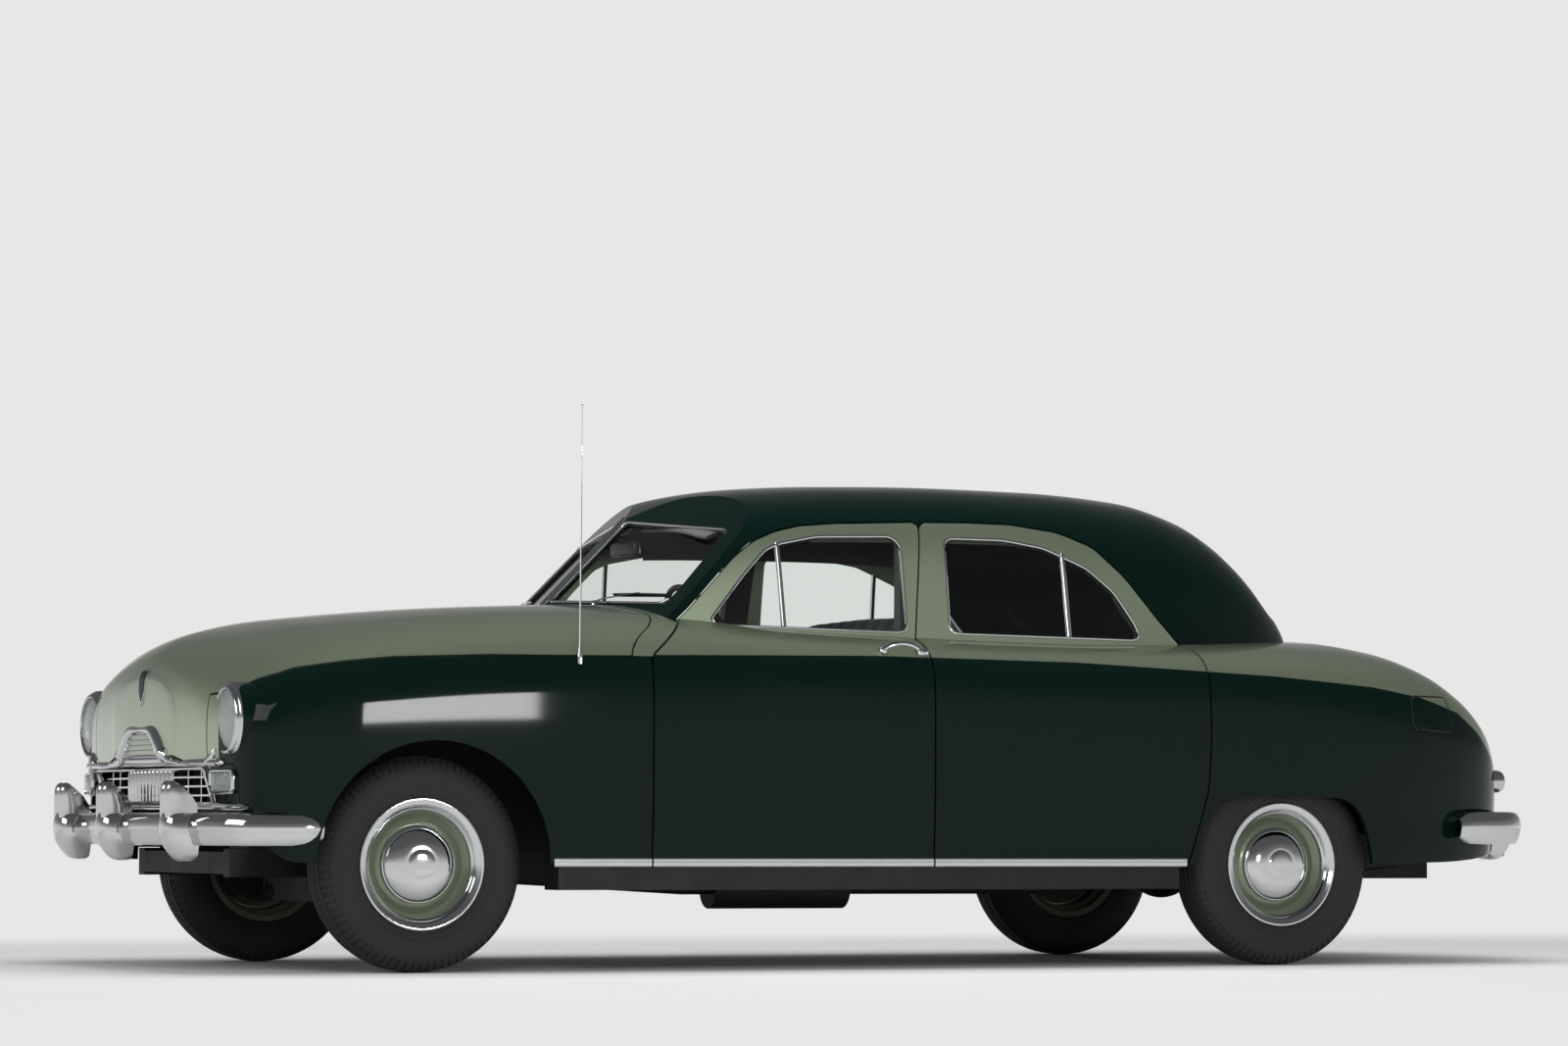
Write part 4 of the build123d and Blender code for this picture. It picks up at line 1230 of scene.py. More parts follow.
def deck_and_lid():
    """The deck behind the rear window and the trunk lid, cut by one edge with a gap between them."""
    def lid_edge(gap, radius):
        x, y = TRUNK_FRONT + gap, TRUNK_HALF + gap
        return rounded([(x, 0.0), (x, y), (REACH_BACK, y)], radius, closed=False)

    def cut_lid(skin, edge, floor):
        skin.trace(edge, "top", lambda c: c[:, 2] > 0.6)
        skin.trace([(0.0, floor), (0.6, floor)], "front", lambda c: c[:, 0] < -3.9)
        two_tone(skin)

    def lid_zone(c, edge, floor):
        return inside(top(c), np.array([*edge, (REACH_BACK, 0.0)])) & (c[:, 2] > floor)

    skin = body_skin(TAIL_END, -2.8)
    skin.drop(lambda c: c[:, 1] > 0.66)
    skin.trace([(REACH_BACK, DECK_HALF), (-2.5, DECK_HALF)], "top")
    outer, low_edge = lid_edge(GAP, 0.07), TRUNK_BOTTOM - GAP
    cut_lid(skin, outer, low_edge)
    skin.drop(lambda c: lid_zone(c, outer, low_edge) | (c[:, 1] > DECK_HALF))
    skin.drop(lambda c: (c[:, 0] > -3.04) & (c[:, 1] < 0.56))
    whole(skin, "deck_panel", SKIN_DEPTH, "body", "paint_light", ("dark", "light"), ("rear_deck",))
    lid = body_skin(TAIL_END, TRUNK_FRONT)
    edge = lid_edge(0.0, 0.066)
    lid.drop(lambda c: c[:, 1] > 0.66)
    cut_lid(lid, edge, TRUNK_BOTTOM)
    lid.drop(lambda c: ~lid_zone(c, edge, TRUNK_BOTTOM))
    whole(lid, "trunk_lid_panel", SKIN_DEPTH, "trunk_lid", "paint_light", ("dark", "light"), ("trunk_lid",))


def roof_panel():
    skin = cabin_skin(CABIN_REAR, CABIN_FRONT)
    normal = (1.0, -SCREEN_SWEEP, SCREEN_RAKE)
    skin.slice((SCREEN_X, 0.0, SCREEN_Z), normal)
    skin.drop(lambda c: screen_side(c) > 0)
    on_screen = []
    for vert in skin.bm.verts:
        if abs(screen_side(np.array([vert.co]))[0]) < 1e-4:
            on_screen.append((vert.co.y, vert.co.z))
    for outline in DOOR_OUTLINES.values():
        gap = grown(outline, GAP)
        skin.trace(closed(gap), "side", lambda c: c[:, 1] > 0.4)
        skin.drop(lambda c: inside(side(c), gap) & (c[:, 1] > 0.4))
    window = rounded(REAR_OPENING, REAR_ROUND)
    half = [(y, z) for y, z in window if y > -0.02]
    skin.trace(half, "front", lambda c: c[:, 0] < -2.9)
    skin.drop(lambda c: inside(front(c), window) & (c[:, 0] < -2.9))
    skin.drop(lambda c: c[:, 2] < 1.075)
    whole(skin, "roof_panel", FRAME_DEPTH, "body", "paint_dark", ("dark",), ("roof",))
    return sorted(on_screen)


def screen_grid(step=0.011):
    """A flat grid in the left pane's plane."""
    ys, zs = np.arange(0.0, 0.8, step), np.arange(1.08, 1.6, step)
    y, z = np.meshgrid(ys, zs, indexing="ij")
    x = SCREEN_X - (z - SCREEN_Z) * SCREEN_RAKE + SCREEN_SWEEP * y
    points = np.stack([x, y, z], 2)
    normal = np.array([1.0, -SCREEN_SWEEP, SCREEN_RAKE])
    normal /= np.linalg.norm(normal)
    grid = Skin(points, np.broadcast_to(normal, points.shape).copy())
    bmesh.ops.reverse_faces(grid.bm, faces=list(grid.bm.faces))
    return grid


SCREEN_HOLE = rounded([(0.02, 1.222), (0.655, 1.196), (0.662, 1.23), (0.622, 1.446), (0.02, 1.5)], 0.028)


def screen_frame(edge):
    """The painted frame round the two panes, from the roof's cut edge inwards."""
    zs = np.array([z for y, z in edge])
    ys = np.array([y for y, z in edge])
    order = np.argsort(np.arctan2(zs - 1.28, ys - 0.2))
    outer = np.array([(ys[i], zs[i]) for i in order if zs[i] > 1.09])
    outline = np.concatenate([[(0.0, 1.1)], outer[outer[:, 1] < 1.62], [(0.0, outer[:, 1].max())]])
    skin = screen_grid()
    skin.trace(outline, "front")
    skin.trace(closed(SCREEN_HOLE), "front")
    skin.drop(lambda c: ~inside(front(c), outline) | inside(front(c), SCREEN_HOLE))
    skin.drop(lambda c: c[:, 2] < 1.12)
    both_sides(skin, "screen_frame", 0.022, "body", "paint_dark", ("dark",), ())


# How far the panes lie inside the skin, their thickness, and how far they reach past their opening
PANE_IN, PANE_DEPTH, PANE_LAP = -0.011, 0.005, 0.009


def glazing():
    """Each pane lies a little inside the skin, wider than its opening."""
    for place, window in WINDOWS.items():
        skin = cabin_skin(window[:, 0].min() - 0.02, window[:, 0].max() + 0.02)
        skin.drop(lambda c: (c[:, 1] < 0.5) | (c[:, 2] < BELT_BASE + 0.01))
        edge = grown(window, PANE_LAP)
        skin.trace(closed(edge), "side")
        skin.drop(lambda c: ~inside(side(c), edge))
        both_sides(skin, f"pane_{place}", PANE_DEPTH, f"door_{place}_{{side}}", "glass", ("glass",),
                   (f"glass_{place}_{{side}}",), PANE_IN)
    skin = screen_grid(0.022)
    edge = grown(SCREEN_HOLE, 0.008)
    skin.trace(closed(edge), "front")
    skin.drop(lambda c: ~inside(front(c), edge))
    both_sides(skin, "windscreen_pane", 0.006, "body", "glass", ("glass",), (), PANE_IN)
    skin = cabin_skin(CABIN_REAR, -2.9)
    edge = grown(rounded(REAR_OPENING, REAR_ROUND), PANE_LAP)
    half = [(y, z) for y, z in edge if y > -0.02]
    skin.trace(half, "front")
    skin.drop(lambda c: ~inside(front(c), edge))
    whole(skin, "rear_window_pane", PANE_DEPTH, "body", "glass", ("glass",), ("fixed_glass",), PANE_IN)


# Tyres and wheels

# Half of the ribbed tread from shoulder to middle, distance outwards and radius
RIBS = [
    (0.082, 0.306), (0.079, 0.312), (0.0765, 0.32), (0.07, 0.33), (0.06, 0.338), (0.056, 0.34),
    (0.0545, 0.3345), (0.046, 0.3345), (0.0445, 0.342), (0.027, 0.343), (0.0255, 0.337), (0.0175, 0.337),
    (0.016, 0.3436), (0.0045, 0.344), (0.0035, 0.338),
]
INNER_WALL = [
    (-0.062, 0.192), (-0.073, 0.205), (-0.079, 0.22), (-0.0845, 0.242), (-0.0868, 0.264), (-0.0858, 0.286),
]
# The outer wall with two raised ring lines
OUTER_WALL = [
    (0.085, 0.292), (0.0862, 0.28), (0.0868, 0.27), (0.0862, 0.26), (0.0848, 0.248), (0.0854, 0.2468),
    (0.0854, 0.244), (0.0846, 0.2428), (0.0815, 0.229), (0.0821, 0.2278), (0.0819, 0.225), (0.0809, 0.224),
    (0.077, 0.214), (0.073, 0.208), (0.062, 0.192),
]
TREAD = INNER_WALL + [(-out, r) for out, r in RIBS] + RIBS[::-1] + OUTER_WALL
# Wheel disc, trim ring and cap in the same way
DISC = [
    (0.069, 0.198), (0.066, 0.203), (0.06, 0.2035), (0.0585, 0.196), (0.05, 0.19), (0.04, 0.188),
    (0.033, 0.185), (0.027, 0.178), (0.023, 0.168), (0.018, 0.164), (0.015, 0.159), (0.017, 0.152),
    (0.025, 0.142), (0.031, 0.132), (0.032, 0.124), (0.03, 0.115), (0.026, 0.06), (0.026, 0.001),
    (0.02, 0.001), (0.02, 0.06), (0.023, 0.115), (0.024, 0.126), (0.017, 0.14), (0.008, 0.154),
    (0.008, 0.164), (0.012, 0.17), (-0.03, 0.174), (-0.04, 0.19), (-0.064, 0.192), (-0.07, 0.206),
    (-0.074, 0.206), (-0.069, 0.186), (-0.044, 0.183), (-0.034, 0.166), (0.02, 0.166), (0.03, 0.18),
    (0.042, 0.184), (0.052, 0.186), (0.062, 0.19),
]
TRIM_RING = [
    (0.0735, 0.206), (0.0765, 0.211), (0.0795, 0.21), (0.0805, 0.206), (0.08, 0.202), (0.0775, 0.199),
    (0.077, 0.195), (0.074, 0.189), (0.069, 0.184), (0.064, 0.1815), (0.06, 0.178), (0.057, 0.174),
    (0.0555, 0.175), (0.0585, 0.18), (0.0625, 0.1838), (0.068, 0.1862), (0.0725, 0.1905), (0.0745, 0.198),
    (0.075, 0.203),
]
HUB_CAP = [
    (0.0335, 0.1215), (0.035, 0.125), (0.038, 0.1262), (0.042, 0.1258), (0.0445, 0.1235), (0.045, 0.1205),
    (0.049, 0.118), (0.056, 0.11), (0.064, 0.096), (0.07, 0.08), (0.074, 0.062), (0.0755, 0.05),
    (0.0752, 0.047), (0.077, 0.044), (0.079, 0.03), (0.08, 0.015), (0.0802, 0.0005), (0.076, 0.0005),
    (0.075, 0.03), (0.07, 0.06), (0.06, 0.095), (0.048, 0.112), (0.04, 0.12),
]
CORNERS = [
    ("front_left", 0.0, FRONT_HALF_TRACK, 1), ("front_right", 0.0, -FRONT_HALF_TRACK, -1),
    ("rear_left", REAR_AXLE, REAR_HALF_TRACK, 1), ("rear_right", REAR_AXLE, -REAR_HALF_TRACK, -1),
]


def corner_copies(model, stem, slot, finish, replaced=()):
    """Moves the front left model to the other three corners, each copy with its own mesh."""
    placed = []
    for label, x, y, out in CORNERS[1:]:
        shift = (x, y - FRONT_HALF_TRACK * out, 0)
        placed.append((twin(model, f"{stem}_{label}", shift, mirror=out < 0), label))
    for piece, label in [*placed, (model, "front_left")]:
        seat(piece, f"wheel_{label}", slot, finish, instead=[node.format(place=label) for node in replaced])


# Radii between which the tread's grooves end, their depth, and the cuts round each shoulder
GROOVES, GROOVE_DEPTH, SHOULDER_CUTS, CUT_DEPTH = (0.33, 0.3381), 0.006, 160, 0.0042


def tyres(depth):
    """A ribbed tread with cut shoulders and ring lines on the side wall."""
    centre = (0.0, FRONT_HALF_TRACK, TYRE_RADIUS)
    low, high = GROOVES
    profile = [(a, r - (depth - GROOVE_DEPTH) if low <= r <= high else r) for a, r in TREAD]
    tyre = spun("tyre_rubber_front_left", profile, centre, steps=SHOULDER_CUTS, angle=28)
    bpy.ops.object.mode_set(mode="EDIT")
    bpy.ops.mesh.select_all(action="DESELECT")
    bm = bmesh.from_edit_mesh(tyre.data)
    for face in bm.faces:
        c = face.calc_center_median()
        x, out, z = c.x - AXLE, c.y - centre[1], c.z - centre[2]
        r, turn = math.hypot(x, z), (math.atan2(z, x) / (2 * math.pi) + 1) % 1
        face.select = abs(out) > 0.06 and 0.309 < r < 0.3395 and int(turn * SHOULDER_CUTS) % 2 == 0
    bpy.ops.mesh.extrude_region_shrink_fatten(TRANSFORM_OT_shrink_fatten={"value": -CUT_DEPTH})
    tyre = settled("tyre_rubber_front_left", 28)
    corner_copies(tyre, "tyre_rubber", "tyre", "rubber", ("tyre_{place}",))


def wheels():
    centre = (0.0, FRONT_HALF_TRACK, TYRE_RADIUS)
    disc = spun("wheel_disc_front_left", DISC, centre)
    corner_copies(disc, "wheel_disc", "wheel_paint", "wheel", ("wheel_{place}",))
    ring = spun("trim_ring_front_left", TRIM_RING, centre, angle=40)
    corner_copies(ring, "trim_ring", "chrome", "chrome")
    cap = spun("hub_cap_front_left", HUB_CAP, centre, steps=80, angle=40)
    corner_copies(cap, "hub_cap", "chrome", "chrome")


# Bright trim that follows the body


def surface_at(section, x, z):
    """The half width of the surface at a station and a height, above its widest line."""
    curve = section(x, 240)
    order = np.argsort(curve[:, 1])
    return float(np.interp(z, curve[order, 1], curve[order, 0]))


def reach_at(x, z):
    """The half width of the body at a station and a height, below 0 where it has none."""
    w, z_wide, top_, p, q, bottom, half_bottom = BODY_SECTIONS.at(x)
    if z < bottom or z > top_:
        return -1.0
    if z < z_wide:
        return w - (w - half_bottom) * (1 - (z - bottom) / (z_wide - bottom)) ** 2
    a = math.asin(min(((z - z_wide) / (top_ - z_wide)) ** (q / 2), 1.0))
    return w * max(math.cos(a), 0.0) ** (2 / p)


def halved(low, high, holds):
    """The last place between low and high at which holds is true."""
    for _ in range(30):
        middle = (low + high) / 2
        if holds(middle):
            low = middle
        else:
            high = middle
    return low


def front_x(y, z):
    """How far forward the nose reaches at this place, seen from the front."""
    y, cap, foot = abs(y), BODY[0][0], BODY[0][6]
    if reach_at(cap, z) > y:
        share = 1 / halved(1.0, 14.0, lambda t: reach_at(cap, foot + (z - foot) * t) >= y * t)
        return cap + NOSE_DOME * math.sqrt(1 - share * share)
    return halved(0.2, cap, lambda x: reach_at(x, z) >= y)


def body_y(x, z):
    return surface_at(body_section, x, z)


def cabin_y(x, z):
    return surface_at(cabin_section, x, z)


def evened(points, step):
    """Points along a path at even steps."""
    points = np.array(points, float)
    gaps = np.linalg.norm(np.diff(points, axis=0), axis=1)
    way = np.concatenate([[0.0], np.cumsum(gaps)])
    count = max(int(way[-1] / step), 2)
    wanted = np.linspace(0, way[-1], count + 1)
    return np.stack([np.interp(wanted, way, points[:, i]) for i in range(points.shape[1])], 1)


# The strip's section, outwards and up as shares of its height
STRIP_SECTION = [
    (-0.0035, -0.5), (0.0, -0.5), (0.0035, -0.42), (0.005, -0.22), (0.0055, 0.0), (0.005, 0.22),
    (0.0035, 0.42), (0.0, 0.5), (-0.0035, 0.5),
]


def pair(piece, body, slot, *finishes, instead=()):
    """Seats a left piece and its mirrored twin, named after it, on the two sides."""
    name = piece.name
    piece.name = piece.data.name = f"{name}_left"
    other = twin(piece, f"{name}_right", mirror=True)
    for half, label in ((piece, "left"), (other, "right")):
        nodes = [node.format(side=label) for node in instead]
        seat(half, body.format(side=label), slot, *finishes, instead=nodes)


def window_trim(settings):
    """Chrome lips round the door windows, a bar in each window and the strip at the foot of the roof."""
    wide = settings.moulding
    for place, window in WINDOWS.items():
        ring = evened(closed(window), 0.014)[:-1]
        path = [(x, cabin_y(x, z) - 0.0005, z) for x, z in ring]
        ups = [(0.0, 1.0, 0.14)] * len(path)
        lip = [(0.5, -0.006), (0.45, 0.0015), (0.1, 0.0035), (-0.2, 0.003), (-0.5, 0.0005), (-0.5, -0.006)]
        section = [(share * wide, proud) for share, proud in lip]
        piece = swept(f"window_lip_{place}", path, section, up=ups, closed_path=True)
        pair(piece, f"door_{place}_{{side}}", "chrome", "chrome")
    for place, x_top, x_low, z_top, z_low in (("front", -1.283, -1.291, 1.402, 1.126),
                                              ("rear", -2.348, -2.355, 1.392, 1.11)):
        path = []
        for t in np.linspace(0, 1, 8):
            x, z = x_top + (x_low - x_top) * t, z_top + (z_low - z_top) * t
            path.append((x, cabin_y(x, z) - 0.006, z))
        piece = swept(f"window_bar_{place}", path, oval(0.009, 0.008, 12, 3.0), up=(1.0, 0.0, 0.0))
        pair(piece, f"door_{place}_{{side}}", "chrome", "chrome")
    foot = evened([(-2.806, 0.783, 1.086), (-2.93, 0.735, 1.09), (-3.08, 0.68, 1.094), (-3.25, 0.6, 1.099)],
                  0.02)
    path = [(x, cabin_y(x, z) + 0.001, z) for x, _, z in foot]
    piece = swept("roof_foot_strip", path, [(a, b * 0.013) for a, b in STRIP_SECTION])
    pair(piece, "body", "chrome", "chrome")


SILL_Z = 0.3515


def sill_strips():
    """The long chrome strip under the fender, the doors and the quarter."""
    spans = [("fender", -0.408, FENDER_REAR, "body"), ("front_door", -0.753, -1.762, "door_front_{side}"),
             ("rear_door", -1.768, -2.719, "door_rear_{side}")]
    section = [(-0.004, -0.0145), (0.004, -0.0145), (0.0078, -0.01), (0.009, -0.002), (0.0075, 0.004),
               (0.0085, 0.009), (0.006, 0.0135), (-0.004, 0.0145)]
    for name, start_x, end_x, body in spans:
        path = [(x, body_y(x, 0.352) - 0.001, SILL_Z) for x in np.linspace(start_x, end_x, 24)]
        piece = swept(f"sill_strip_{name}", path, section)
        pair(piece, body, "chrome", "chrome")


HANDLE_LENGTH, HANDLE_BOW = 0.144, 0.026


def door_handles():
    """A bowed pull on two feet with a push button behind it."""
    bow, sizes = [], []
    for t in np.linspace(0, 1, 17):
        x = -1.588 - HANDLE_LENGTH * t
        lift = math.sin(math.pi * min(t * 1.03, 1.0)) ** 0.7
        bow.append((x, 0.896 + 0.01 * lift, 1.047 + HANDLE_BOW * lift - 0.004 * t))
        sizes.append(0.7 + 0.3 * math.sin(math.pi * t))
    grip = swept("handle_grip", bow, oval(0.0075, 0.0085, 14), sizes=sizes)
    stud = [(-0.02, 0.001), (-0.02, 0.013), (0.004, 0.013), (0.009, 0.009), (0.01, 0.001)]
    front_foot = spun("handle_front_foot", stud, (-1.59, 0.893, 1.046), steps=24)
    rear_foot = block("handle_rear_foot", (-1.752, 0.87, 1.032), (-1.712, 0.908, 1.054), 0.005)
    dome = [(-0.01, 0.001), (-0.01, 0.008), (0.004, 0.008), (0.006, 0.006), (0.007, 0.001)]
    button = spun("handle_button", dome, (-1.74, 0.908, 1.043), steps=20)
    piece = joined("door_handle", [grip, front_foot, rear_foot, button])
    pair(piece, "door_front_{side}", "chrome", "chrome")


def plate(name, outline, x0, x1):
    """A flat plate across the car, its outline given as (y, z)."""
    return lofted(name, [[Vector((x + AXLE, y, z)) for y, z in outline] for x in (x0, x1)])


def around(count):
    """Angles evenly round a circle."""
    return np.linspace(0, 2 * math.pi, count, endpoint=False)


def disc_ring(x, y, z, radius, count):
    """A level ring of points round an upright line."""
    return [Vector((x + AXLE + radius * math.cos(a), y + radius * math.sin(a), z)) for a in around(count)]


# Nose: crown, grille, mouldings and lamps


def nose_normal(y, z):
    step = 0.004
    across = (front_x(y + step, z) - front_x(y - step, z)) / (2 * step)
    up = (front_x(y, z + step) - front_x(y, z - step)) / (2 * step)
    return Vector((1.0, -across, -max(min(up, 2.0), -2.0))).normalized()


def level(normal):
    return Vector((normal.x, normal.y, 0.0)).normalized()


def along_nose(points):
    """Places and normals on the nose for (y, z) points, mirrored for the right half."""
    path, normals = [], []
    for y, z in points:
        normal = nose_normal(abs(y), z)
        if y < 0:
            normal = Vector((normal.x, -normal.y, normal.z))
        path.append(Vector((front_x(abs(y), z), y, z)))
        normals.append(normal)
    return path, normals


def both_halves(points):
    """Points from the middle outwards, led from the far right to the far left."""
    return [(-y, z) for y, z in points[::-1] if y > 1e-6] + list(points)


HALF_ROUND = [
    (-1.0, -0.6), (-1.0, 0.0), (-0.86, 0.5), (-0.5, 0.87), (0.0, 1.0), (0.5, 0.87), (0.86, 0.5), (1.0, 0.0),
    (1.0, -0.6),
]
# y, z, half width of the crown's arm
CROWN = [
    (0.0, 0.774, 0.009), (0.05, 0.7738, 0.011), (0.084, 0.773, 0.015), (0.112, 0.767, 0.02),
    (0.136, 0.755, 0.024), (0.157, 0.739, 0.0265), (0.176, 0.721, 0.028), (0.192, 0.704, 0.0285),
    (0.206, 0.69, 0.0285), (0.221, 0.679, 0.0265), (0.24, 0.6725, 0.0215), (0.266, 0.6695, 0.0155),
    (0.305, 0.668, 0.0115), (0.36, 0.6665, 0.0095),
]
SLOTS = [0.69, 0.7065, 0.723, 0.7395, 0.756]


def crown():
    """The chrome crown on the hood's nose with its louvre bars."""
    rows = both_halves([(y, z) for y, z, w in CROWN])
    widths = [w for y, z, w in CROWN]
    widths = widths[:0:-1] + widths
    path, normals = along_nose(rows)
    sizes = [(w, 0.0125 + 0.15 * w) for w in widths]
    pieces = [swept("crown_arms", path, HALF_ROUND, up=normals, sizes=sizes)]
    inner = [(0.0, 0.182), (0.69, 0.182), (0.707, 0.168), (0.723, 0.152), (0.74, 0.134), (0.756, 0.108)]
    for z in SLOTS:
        half = float(np.interp(z, [p[0] for p in inner], [p[1] for p in inner]))
        row = [(y, z) for y in np.linspace(-half, half, 13)]
        path, normals = along_nose(row)
        pieces.append(swept("crown_bar", path, HALF_ROUND, up=normals, sizes=[(0.0042, 0.0085)] * 13))
    foot = [(y, 0.674) for y in np.linspace(-0.3, 0.3, 25)]
    path = [Vector((0.65, y, z)) for y, z in foot]
    pieces.append(swept("crown_foot", path, HALF_ROUND, up=(1.0, 0.0, 0.0), sizes=[(0.0155, 0.014)] * 25))
    seat(joined("hood_crown_moulding", pieces), "hood", "chrome", "chrome", instead=("hood_crown",))


def badge():
    """A bare shield on the middle of the nose."""
    shield = [(0.0, 0.975), (0.03, 0.975), (0.033, 0.955), (0.03, 0.895), (0.0, 0.853)]
    field = [(0.0, 0.966), (0.022, 0.966), (0.0245, 0.95), (0.022, 0.901), (0.0, 0.868)]
    for name, outline, depth, slot, finish, proud in (
            ("nose_shield", shield, 0.008, "chrome", "chrome", 0.0045),
            ("nose_shield_field", field, 0.004, "paint_dark", "dark", 0.0062)):
        skin = body_skin(0.52, NOSE_END)
        skin.drop(lambda c: (c[:, 1] > 0.08) | (c[:, 2] < 0.82))
        skin.trace(outline, "front")
        ring = np.array([(-0.02, outline[0][1])] + outline + [(-0.02, outline[-1][1])])
        skin.drop(lambda c: ~inside(front(c), ring))
        whole(skin, name, depth, "hood", slot, (finish,), offset=proud)


def nose_mouldings():
    """The chrome channel beside the crown and the moulding under the grille."""
    rows = [(y, 0.6625) for y in np.linspace(0.0, 0.69, 34)]
    rows = both_halves(rows)
    path, normals = along_nose(rows)
    sizes = []
    for y, z in rows:
        k = min(max((abs(y) - 0.2) / 0.4, 0.0), 1.0)
        end = min((0.6905 - abs(y)) / 0.03 + 0.35, 1.0)
        sizes.append(((0.0085 + 0.006 * k) * end, (0.011 + 0.008 * k) * end))
    pieces = [swept("nose_channel", path, HALF_ROUND, up=normals, sizes=sizes)]
    fin = ((0.585, 0.664), (0.6, 0.672), (0.612, 0.684), (0.62, 0.697), (0.625, 0.708))
    fat = [(0.022, 0.02), (0.019, 0.019), (0.014, 0.016), (0.008, 0.011), (0.0015, 0.003)]
    for s in (1, -1):
        path, normals = along_nose([(s * y, z) for y, z in fin])
        pieces.append(swept("nose_fin", path, HALF_ROUND, up=normals, sizes=fat))
    low = both_halves([(y, 0.527 - 0.006 * (y / 0.82) ** 4) for y in np.linspace(0.0, 0.815, 40)])
    path, normals = along_nose(low)
    flat = [level(n) for n in normals]
    sizes = [(0.0125 * min((0.83 - abs(y)) / 0.05, 1.0), 0.014) for y, z in low]
    pieces.append(swept("nose_low_moulding", path, HALF_ROUND, up=flat, sizes=sizes))
    seat(joined("nose_mouldings", pieces), "body", "chrome", "chrome", instead=("grille",))


def grille_x(y, depth=0.0):
    return 0.634 - 0.032 * (y / 0.552) ** 2 - depth


def grille():
    """Frame, three bars, dividers and the ribbed centre, with a black plate behind them that is partly the
    radiator's dark core and partly painted shade in the opening.
    """
    pieces = []
    hole = rounded([(-0.548, 0.536), (0.548, 0.536), (0.548, 0.645), (-0.548, 0.645)], 0.016)
    ring = evened(closed(hole), 0.016)[:-1]
    path = [(front_x(abs(y), z) - 0.004, y, z) for y, z in ring]
    ups = [(1.0, 0.35 * y, 0.0) for y, z in ring]
    pieces.append(swept("grille_frame", path, oval(0.006, 0.011, 10, 2.4), up=ups, closed_path=True))
    bar = [(-0.014, -0.0028), (0.0, -0.0034), (0.004, -0.0026), (0.0056, 0.0), (0.004, 0.0026),
           (0.0, 0.0034), (-0.014, 0.0028)]
    for z in (0.56, 0.589, 0.618):
        path = [(grille_x(y, 0.004), y, z) for y in np.linspace(-0.55, 0.55, 41)]
        pieces.append(swept("grille_bar", path, [(-a, b) for a, b in bar]))
    for y in (0.35, 0.452, -0.35, -0.452):
        path = [(grille_x(y, 0.006), y, z) for z in (0.537, 0.644)]
        pieces.append(swept("grille_divider", path, oval(0.0028, 0.01, 8, 3.0), up=(1.0, 0.0, 0.0)))
    rib = spun_rib()
    for i in range(-5, 6):
        y = 0.04 * i
        pieces.append(twin(rib, "grille_rib", shift=(grille_x(y) - 0.634, y, 0.0)))
    bpy.data.objects.remove(rib)
    for z, wide in ((0.5385, 0.228), (0.6445, 0.228)):
        path = [(grille_x(y, -0.006), y, z) for y in np.linspace(-wide, wide, 17)]
        pieces.append(swept("rib_cap", path, oval(0.011, 0.0055, 10)))
    seat(joined("grille_bars", pieces), "body", "chrome", "chrome", instead=("grille",))
    # Black plate behind the bars. It stands for the radiator's dark core and is also painted shade, filling
    # the opening where the space behind lies in shadow.
    dark = plate("grille_back", [(-0.56, 0.528), (0.56, 0.528), (0.56, 0.652), (-0.56, 0.652)], 0.515, 0.52)
    seat(dark, "body", "chassis_black", "black", instead=("grille",))


def spun_rib():
    """One upright rib, rounded in front and drawn in at both ends."""
    half, reach, face, back = 0.0165, 0.019, 0.63 + AXLE, 0.618 + AXLE
    rings = []
    for z, k in ((0.536, 0.62), (0.5405, 0.9), (0.548, 1.0), (0.59, 1.04), (0.634, 1.0), (0.6425, 0.9),
                 (0.647, 0.62)):
        ring = []
        for a in np.linspace(-math.pi / 2, math.pi / 2, 9):
            ring.append(Vector((face + reach * k * math.cos(a), half * math.sin(a) * (0.7 + 0.3 * k), z)))
        rings.append(ring + [Vector((back, half, z)), Vector((back, -half, z))])
    return lofted("rib_model", rings)


BEZEL = [
    (-0.06, 0.108), (-0.06, 0.1205), (-0.01, 0.1218), (0.01, 0.1218), (0.022, 0.1205), (0.03, 0.117),
    (0.0335, 0.1135), (0.034, 0.112), (0.0385, 0.1112), (0.0425, 0.1085), (0.0455, 0.1045), (0.0462, 0.1),
    (0.0445, 0.0972), (0.0405, 0.0958), (0.036, 0.0962), (0.032, 0.0985), (0.025, 0.102), (-0.03, 0.104),
]
LENS = [
    (0.032, 0.0962), (0.0365, 0.0962), (0.0425, 0.082), (0.0475, 0.06), (0.0505, 0.035), (0.0515, 0.0005),
    (0.049, 0.0005), (0.048, 0.035), (0.045, 0.06), (0.04, 0.081), (0.034, 0.094),
]
REFLECTOR = [
    (0.03, 0.0975), (0.028, 0.0975), (0.012, 0.088), (-0.01, 0.069), (-0.028, 0.045), (-0.036, 0.0005),
    (-0.033, 0.0005), (-0.025, 0.044), (-0.007, 0.067), (0.014, 0.085),
]
BULB = [
    (-0.034, 0.012), (0.004, 0.014), (0.016, 0.012), (0.022, 0.006), (0.023, 0.0005), (-0.034, 0.0005),
]


# The painted collar between the fender and the bezel, reach forward and radius
COLLAR = [
    (0.022, 0.117), (0.026, 0.1222), (0.021, 0.1258), (0.002, 0.131), (-0.03, 0.138), (-0.07, 0.142),
    (-0.07, 0.117),
]


